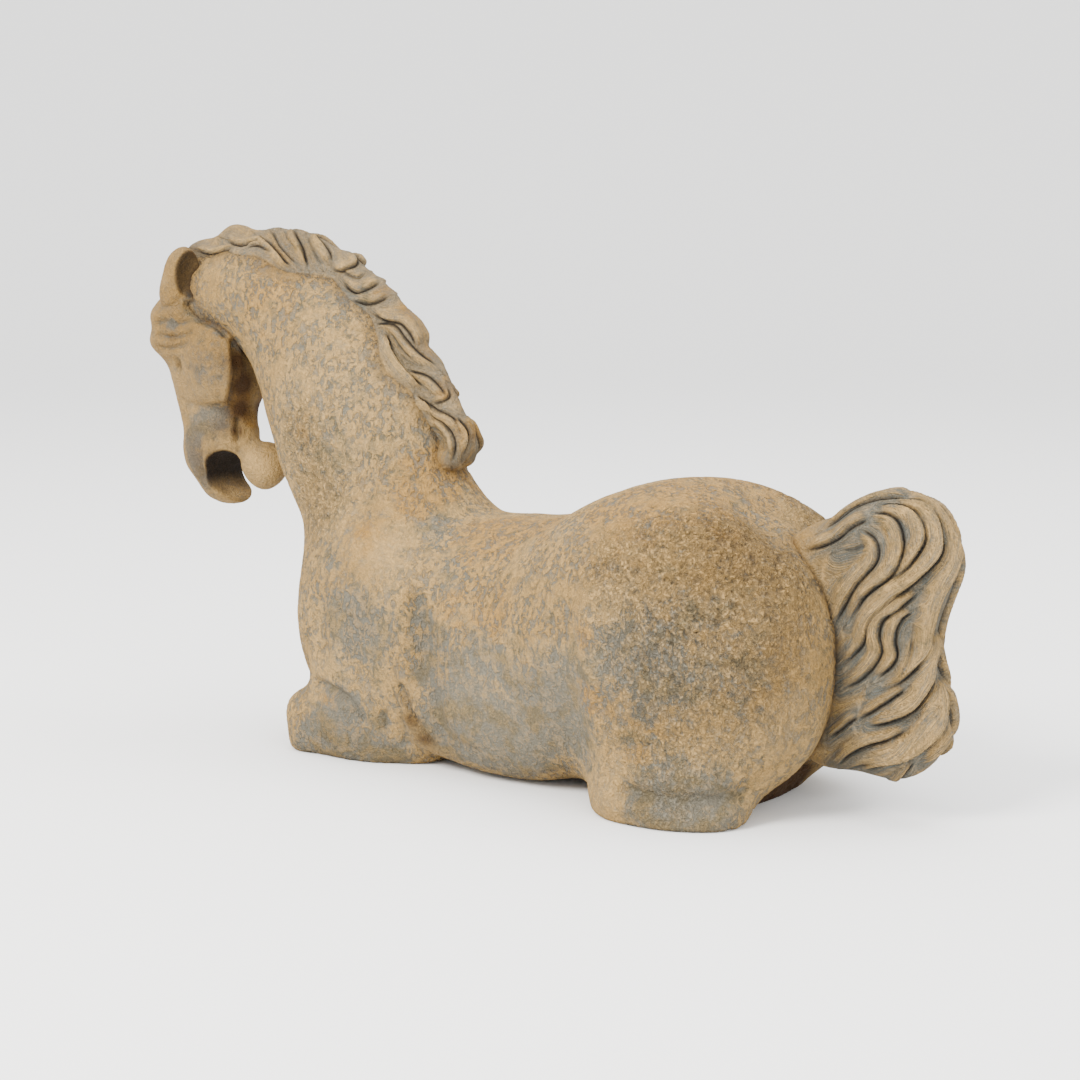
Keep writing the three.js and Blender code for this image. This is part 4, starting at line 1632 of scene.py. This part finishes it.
class Paint:
    """Where patina and wear lie, and where shade and highlights are painted, as soft spots on the
    photograph.

    Each spot has its place in pixels of the photograph, its radius in millimetres and its amount.
    """

    def layers(self) -> dict[str, Places]:
        """Every layer of spots by its name."""
        return {
            "grey": self.grey(),
            "warm": self.warm(),
            "fair": self.fair(),
            "shade": self.shade(),
            "smooth": self.smooth(),
            "pitted": self.pitted(),
        }

    def grey(self) -> Places:
        """Where the blue-grey wash is left."""
        return {
            "shoulder": ((345, 618, 34, 0.8), (372, 640, 30, 0.7), (330, 560, 22, 0.4)),
            "behind the shoulder": ((420, 618, 9, 1.6), (421, 645, 9, 1.6), (421, 672, 9, 1.6),
                                    (436, 640, 18, 0.5)),
            "withers": ((436, 528, 20, 0.7),),
            "ribs": ((440, 700, 24, 0.8), (450, 735, 30, 1.2), (480, 660, 40, 0.4), (500, 700, 50, 0.5),
                     (450, 570, 30, 0.5)),
            "fold over the forearm": ((326, 687, 6, 1.5), (340, 694, 6, 1.5), (350, 702, 6, 1.5),
                                      (358, 713, 5, 1.4), (384, 720, 5, 1.2)),
            "foreleg": ((310, 742, 24, 0.8), (352, 700, 16, 0.4), (340, 740, 40, 1.0), (400, 755, 24, 0.6)),
            "flank": ((556, 684, 36, 0.8), (566, 735, 34, 0.9), (520, 760, 34, 0.8), (485, 748, 26, 0.9)),
            "haunch": ((620, 660, 24, 0.6), (650, 700, 34, 0.5), (640, 650, 50, 0.35), (760, 700, 50, 0.35),
                       (700, 620, 60, 0.35)),
            "hind foot": ((660, 806, 34, 1.1), (710, 810, 30, 1.0)),
            "neck": ((350, 470, 40, 0.4), (290, 440, 34, 0.3), (300, 290, 24, 0.4), (350, 300, 20, 0.6),
                     (432, 440, 14, 0.6), (370, 380, 30, 0.35), (330, 410, 30, 0.3)),
            "cheek": ((222, 330, 6, 1.2), (212, 321, 7, 1.3), (199, 316, 6, 1.3), (240, 345, 10, 0.8),
                      (200, 420, 15, 0.8), (220, 418, 14, 0.9), (205, 370, 26, 0.6)),
            "face": ((165, 330, 16, 0.4), (170, 405, 12, 0.7), (172, 324, 5, 0.9), (190, 300, 16, 0.5)),
            "lip": ((194, 462, 12, 1.0), (190, 440, 12, 0.9), (204, 482, 10, 0.8)),
        }

    def warm(self) -> Places:
        """Where the ochre is strong."""
        return {
            "beside the mane": ((384, 290, 12, 0.8), (408, 312, 12, 0.9), (430, 350, 12, 0.9),
                                (448, 388, 12, 0.9), (468, 430, 12, 0.9)),
            "withers": ((420, 488, 30, 1.2), (440, 480, 20, 0.8), (490, 538, 36, 1.0)),
            "back": ((560, 520, 34, 0.9), (510, 528, 30, 0.6)),
            "croup": ((690, 490, 70, 0.8), (620, 520, 44, 0.5)),
            "haunch": ((585, 640, 13, 0.8), (592, 700, 13, 0.8), (590, 690, 18, 0.6), (640, 740, 26, 0.5)),
            "ribs": ((498, 612, 20, 0.9), (460, 610, 30, 0.5)),
            "shoulder": ((370, 540, 22, 0.5), (330, 700, 16, 0.5)),
            "neck": ((262, 300, 32, 0.7), (310, 430, 30, 0.4)),
            "jaw": ((240, 400, 14, 1.0), (252, 420, 10, 1.0), (180, 440, 8, 0.5)),
        }

    def fair(self) -> Places:
        """Where the clay is pale on the chin, and where highlights are painted on the rims of the ear and
        the lip and on the edges of the shoulder, the haunch and the hind foot.
        """
        return {
            "chin": ((264, 470, 17, 1.2), (250, 455, 9, 0.8)),
            "haunch": ((574, 690, 8, 0.35), (582, 575, 4, 0.8)),
            "hind foot": ((620, 770, 5, 0.7), (616, 784, 5, 0.8), (611, 798, 5, 0.8), (607, 811, 5, 0.7),
                          (640, 835, 10, 0.4)),
            "shoulder": ((375, 560, 20, 0.5),),
            "ear": ((164, 280, 6, 0.5),),
            "lip": ((222, 445, 5, 0.5),),
        }

    def shade(self) -> Places:
        """Where brown shade is painted: shadow under the jaw, under the end of the mane and under the rump,
        shade on the back of the rump, in the creases of the foreleg, round the eye and the ear and at the
        root of the tail, and a darker brown tone on the muzzle and the cheek.
        """
        return {
            "jaw": ((238, 360, 12, 0.9), (243, 384, 14, 1.0), (240, 410, 13, 0.9), (237, 432, 5, 1.1)),
            "ear": ((193, 252, 7, 0.5),),
            "eye": ((179, 366, 4, 0.8), (161, 357, 5, 0.5), (172, 337, 5, 0.3)),
            "cheek": ((205, 370, 24, 0.12),),
            "muzzle": ((196, 455, 20, 0.34), (205, 480, 14, 0.25), (222, 428, 10, 0.3), (225, 490, 8, 0.25)),
            "end of the mane": ((478, 468, 9, 0.8),),
            "creases of the foreleg": ((404, 700, 8, 0.7), (414, 722, 9, 0.7), (428, 742, 8, 0.6),
                                       (406, 720, 8, 0.5), (421, 740, 9, 0.6), (340, 694, 6, 0.35)),
            "rump": ((740, 550, 40, 0.25), (785, 640, 30, 0.25), (770, 720, 34, 0.2)),
            "under the rump": ((772, 796, 24, 1.6), (790, 780, 20, 1.4)),
            "root of the tail": ((782, 533, 9, 0.45), (792, 548, 8, 0.5)),
        }

    def smooth(self) -> Places:
        """Where the skin has less grain."""
        return {
            "shoulder": ((372, 545, 42, 0.75), (330, 700, 40, 0.55), (400, 735, 30, 0.5)),
            "ribs": ((470, 690, 50, 0.5), (520, 740, 40, 0.5), (560, 700, 36, 0.55), (520, 510, 30, 0.4)),
            "haunch": ((600, 800, 40, 0.6), (780, 690, 46, 0.5), (690, 810, 40, 0.6)),
            "cheek": ((210, 290, 20, 0.5),),
        }

    def pitted(self) -> Places:
        """Where the skin is pitted and sandy."""
        return {
            "croup": ((740, 550, 44, 0.9), (700, 560, 44, 0.8), (660, 600, 50, 0.6), (780, 580, 34, 0.7),
                      (620, 560, 34, 0.6)),
            "neck": ((320, 500, 36, 0.9), (300, 430, 30, 0.7)),
            "haunch": ((700, 650, 50, 0.4), (700, 720, 60, 0.4), (640, 700, 50, 0.3), (760, 660, 40, 0.4),
                       (660, 800, 40, 0.3)),
        }


@dataclass
class Horse:
    """The whole casting, in the pieces that the scene dresses it with."""

    clay: ClayFinish = field(default_factory=ClayFinish)
    carving: Carving = field(default_factory=Carving)
    weathering: Weathering = field(default_factory=Weathering)
    paint: Paint = field(default_factory=Paint)
    body: Body = field(default_factory=Body)
    head: Head = field(default_factory=Head)
    tail: Tail = field(default_factory=Tail)
    mane: Mane = field(default_factory=Mane)
    stretches: tuple[str, ...] = ("horse_neck", "horse_barrel", "horse_rump")
    least_grain: float = 0.12
    most_paint: float = 1.2
    valley_relief: Pair = (0.4, 3.2)
    valley_gap: Pair = (5.0, 13.0)
    crest_relief: Pair = (1.8, 5.0)

    def build(self) -> list[Object]:
        """Builds and dresses every piece.

        Returns:
            The pieces.
        """
        material = self.clay.build()
        pieces = [self.body_piece(), self.head_piece()]
        LOG.info("flesh is meshed")
        tree = self.carving.build()
        pieces += [self.tail_piece(tree, material), self.mane_piece(tree, material)]
        LOG.info("hair is carved")
        tree = self.weathering.build()
        plain = {piece.name: piece.mesh.copy() for piece in pieces}
        dressed = []
        for piece in pieces:
            self.mask(piece)
            others = [mesh for name, mesh in plain.items() if name != piece.name]
            mesh = self.weathered(piece, others, tree, material)
            if piece.name == "horse_body":
                parts = zip(self.stretches, split_across(mesh, self.body.cuts))
            else:
                parts = [(piece.name, mesh)]
            dressed += [self.placed(name, part, material) for name, part in parts]
        return dressed

    def weathered(self, piece: Piece, others: Sequence[Mesh], tree: NodeTree,
                  material: Material) -> Mesh:
        """Weathers the skin of a piece.

        Args:
            piece: The piece.
            others: The meshes of the pieces that it may touch.
            tree: The tree that weathers it.
            material: The finish that the tree sets.

        Returns:
            The weathered mesh.
        """
        joined = bmesh.new()
        for mesh in others:
            joined.from_mesh(mesh)
        around = bpy.data.meshes.new("around")
        joined.to_mesh(around)
        joined.free()
        neighbours = new_object("neighbours", around)
        carrier = new_object(piece.name, piece.mesh)
        set_inputs(carrier, tree, {"Neighbours": neighbours, "Material": material, **piece.inputs()})
        mesh = baked(carrier, piece.name)
        bpy.data.objects.remove(neighbours)
        return mesh

    def placed(self, name: str, mesh: Mesh, material: Material) -> Object:
        """Puts a finished mesh into the scene as a piece of the casting.

        Args:
            name: The piece's name.
            mesh: Its mesh.
            material: Its finish.

        Returns:
            The piece.
        """
        piece = new_object(name, mesh)
        mesh.materials.clear()
        mesh.materials.append(material)
        points = points_of(mesh)
        points[:, 2] = np.maximum(points[:, 2], 0)
        set_points(mesh, points)
        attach(piece, "root")
        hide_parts(NODE)
        mesh.calc_loop_triangles()
        LOG.info("%s has %d triangles", name, len(mesh.loop_triangles))
        return piece

    def modelled(self, mesh: Mesh, strokes: Sequence[Stroke]) -> None:
        """Presses modelling strokes into a mesh along its outward directions."""
        points = points_of(mesh)
        push = np.sum([stroke.push(points) for stroke in strokes], axis=0)
        set_points(mesh, points - push[:, None] * normals_of(mesh))

    def body_piece(self) -> Piece:
        """Meshes and models the body."""
        points, faces = self.body.grid.skin(self.body.surface())
        skin = Skin(points, faces)
        carrier = new_object("body_base", new_mesh("body_base", points, faces))
        finer = carrier.modifiers.new("finer", "SUBSURF")
        finer.levels = finer.render_levels = 1
        mesh = baked(carrier, "body")
        self.modelled(mesh, skin.strokes(self.body.drawn_strokes()))
        return Piece("horse_body", mesh, skin, blur=22, reach=3.0, rough=1.0, lump=1.8, grain=0.95, pits=1.5,
                     contact=9.0)

    def head_piece(self) -> Piece:
        """Meshes and models the head."""
        points, faces = self.head.grid.skin(self.head.surface())
        skin = Skin(points, faces)
        mesh = new_mesh("head", points, faces)
        self.modelled(mesh, skin.strokes(self.head.drawn_strokes()))
        return Piece("horse_head", mesh, skin, blur=20, reach=2.0, rough=0.3, lump=2.0, grain=0.4, pits=0.5,
                     contact=3.0, darkened=0.25, darkness=self.head.darkness)

    def carved(self, name: str, bed: tuple[Array, Array], locks: Sequence[Lock],
               tree: NodeTree, material: Material) -> tuple[Mesh, Skin]:
        """Carves locks into a bed of hair.

        Args:
            name: The bed's name.
            bed: Its points in millimetres and its faces.
            locks: The locks.
            tree: The tree that carves them.
            material: The finish that the tree sets.

        Returns:
            The carved mesh, and the bed's skin.
        """
        skin = Skin(*bed)
        edges = lock_edges(f"{name}_edges", skin, locks)
        carrier = new_object(f"{name}_bed", new_mesh(f"{name}_bed", *bed))
        inputs = {"Edges": edges, "Locks": len(locks), "Material": material, **self.carving.inputs()}
        set_inputs(carrier, tree, inputs)
        mesh = baked(carrier, name)
        bpy.data.objects.remove(edges)
        return mesh, skin

    def tail_piece(self, tree: NodeTree, material: Material) -> Piece:
        """Meshes the tail and carves its locks."""
        bed = self.tail.grid.skin(self.tail.surface())
        mesh, skin = self.carved("tail", bed, self.tail.locks(), tree, material)
        return Piece("horse_tail", mesh, skin, blur=10, reach=1.3, rough=0.15, lump=0.8, grain=0.2, pits=0.2,
                     contact=4.0, washed=self.tail.washed)

    def mane_piece(self, tree: NodeTree, material: Material) -> Piece:
        """Meshes the mane and carves its locks."""
        body, poll = self.body.trunk().distance, self.head.poll()

        def neck(at: Array) -> Array:
            """The flesh under the mane and the forelock."""
            return round_union(body(at), poll(at), self.mane.neck_rounding)

        bed = self.mane.grid.skin(self.mane.surface(neck))
        mesh, skin = self.carved("mane", bed, self.mane.locks(), tree, material)
        return Piece("horse_mane", mesh, skin, blur=10, reach=1.5, rough=0.2, lump=1.2, grain=0.3, pits=0.2,
                     contact=1.5, washed=self.mane.washed)

    def mask(self, piece: Piece) -> None:
        """Stores the masks that the finish reads.

        Args:
            piece: The piece to mark.
        """
        points = points_of(piece.mesh)
        inward = (relaxed(piece.mesh, points, piece.blur) - points) * normals_of(piece.mesh)
        recess = np.clip(inward.sum(axis=1) / piece.reach, 0, 1)
        relief, gap = kept(piece.mesh, "relief") / METRES, kept(piece.mesh, "gap") / METRES
        hair = float(piece.name in ("horse_tail", "horse_mane"))
        valley = 1 - soft_step(relief, *self.valley_relief)
        valley *= 0.12 + 0.83 * (1 - soft_step(gap, *self.valley_gap))
        store(piece.mesh, "recess", recess * (1 - 0.6 * hair))
        store(piece.mesh, "valley", valley * hair * piece.washed(points))
        store(piece.mesh, "crest", soft_step(relief, *self.crest_relief))
        store(piece.mesh, "hair", kept(piece.mesh, "core") * hair * piece.washed(points))
        paint = {name: spotted(piece.skin, points, places) for name, places in self.paint.layers().items()}
        paint["pitted"] *= float(piece.name == "horse_body")
        paint["shade"] += piece.darkened * (1 - np.clip(paint["fair"], 0, 1))
        # Painted deep shade inside the mouth and the ears.
        paint["dark"] = piece.darkness(points)
        store(piece.mesh, "rough", np.clip(piece.rough - paint.pop("smooth"), self.least_grain, 1))
        for name, values in paint.items():
            store(piece.mesh, name, np.clip(values, 0, self.most_paint))


# The studio


@dataclass(frozen=True)
class Lamp:
    """A square soft lamp that faces the horse, its place and its side in metres and its power in watts."""

    name: str
    place: Point
    side: float
    power: float
    colour: Point

    def build(self) -> None:
        """Hangs the lamp in the scene."""
        data = bpy.data.lights.new(self.name, "AREA")
        data.shape, data.size, data.energy, data.color = "SQUARE", self.side, self.power, self.colour
        lamp = bpy.data.objects.new(self.name, data)
        lamp.location = self.place
        lamp.rotation_mode = "QUATERNION"
        lamp.rotation_quaternion = (Vector(LIT_POINT) - Vector(self.place)).to_track_quat("-Z", "Y")
        bpy.context.scene.collection.objects.link(lamp)


@dataclass
class Studio:
    """A pale sweep of floor and soft lamps, in metres."""

    flat: float = 4.0
    bend: float = 3.6
    rim_height: float = 2.2
    corners: int = 96
    steps: int = 24
    colour: tuple = (0.80, 0.80, 0.795, 1)
    roughness: float = 0.9
    surroundings: float = 2.3
    lamps: tuple[Lamp, ...] = (
        Lamp("key", (-0.6, -2.7, 2.4), 1.3, 255, (1.0, 0.97, 0.93)),
        Lamp("top", (0.3, 0.6, 3.0), 2.4, 90, (1.0, 1.0, 1.0)),
        Lamp("fill", (2.3, -1.4, 1.1), 1.8, 40, (1.0, 0.98, 0.95)),
    )

    def floor(self) -> None:
        """Builds the floor, which bends up into a low round wall far behind the horse."""
        rise = np.linspace(0, 1, self.steps)
        radii, heights = self.flat + self.bend * rise, self.rim_height * rise**3
        turns = np.linspace(0, math.tau, self.corners, endpoint=False)
        places = [(r * math.cos(a), r * math.sin(a), z) for r, z in zip(radii, heights) for a in turns]
        ring = range(self.corners)
        walls = []
        for first in range(0, len(places) - self.corners, self.corners):
            for i in ring:
                near, far = first + i, first + (i + 1) % self.corners
                walls.append((near, near + self.corners, far + self.corners, far))
        mesh = bpy.data.meshes.new("floor")
        mesh.from_pydata(places, [], [tuple(ring), *walls])
        mesh.shade_smooth()
        floor = new_object("floor", mesh)
        material = bpy.data.materials.new("pale_floor")
        material.use_nodes = True
        shader = material.node_tree.nodes["Principled BSDF"]
        shader.inputs["Base Color"].default_value = self.colour
        shader.inputs["Roughness"].default_value = self.roughness
        mesh.materials.append(material)

    def build(self) -> None:
        """Builds the floor, the lamps and the pale surroundings."""
        self.floor()
        for lamp in self.lamps:
            lamp.build()
        world = bpy.data.worlds.new("pale")
        bpy.context.scene.world = world
        world.use_nodes = True
        background = world.node_tree.nodes["Background"]
        background.inputs["Color"].default_value = (1.0, 1.0, 1.0, 1)
        background.inputs["Strength"].default_value = self.surroundings


def main() -> None:
    """Builds the horse and the studio and reports each piece."""
    logging.basicConfig(level=logging.INFO, format="%(asctime)s %(name)s: %(message)s")
    VIEW.make_camera()
    for piece in Horse().build():
        LOG.info("%s is dressed", piece.name)
    Studio().build()


if __name__ == "__main__":
    main()
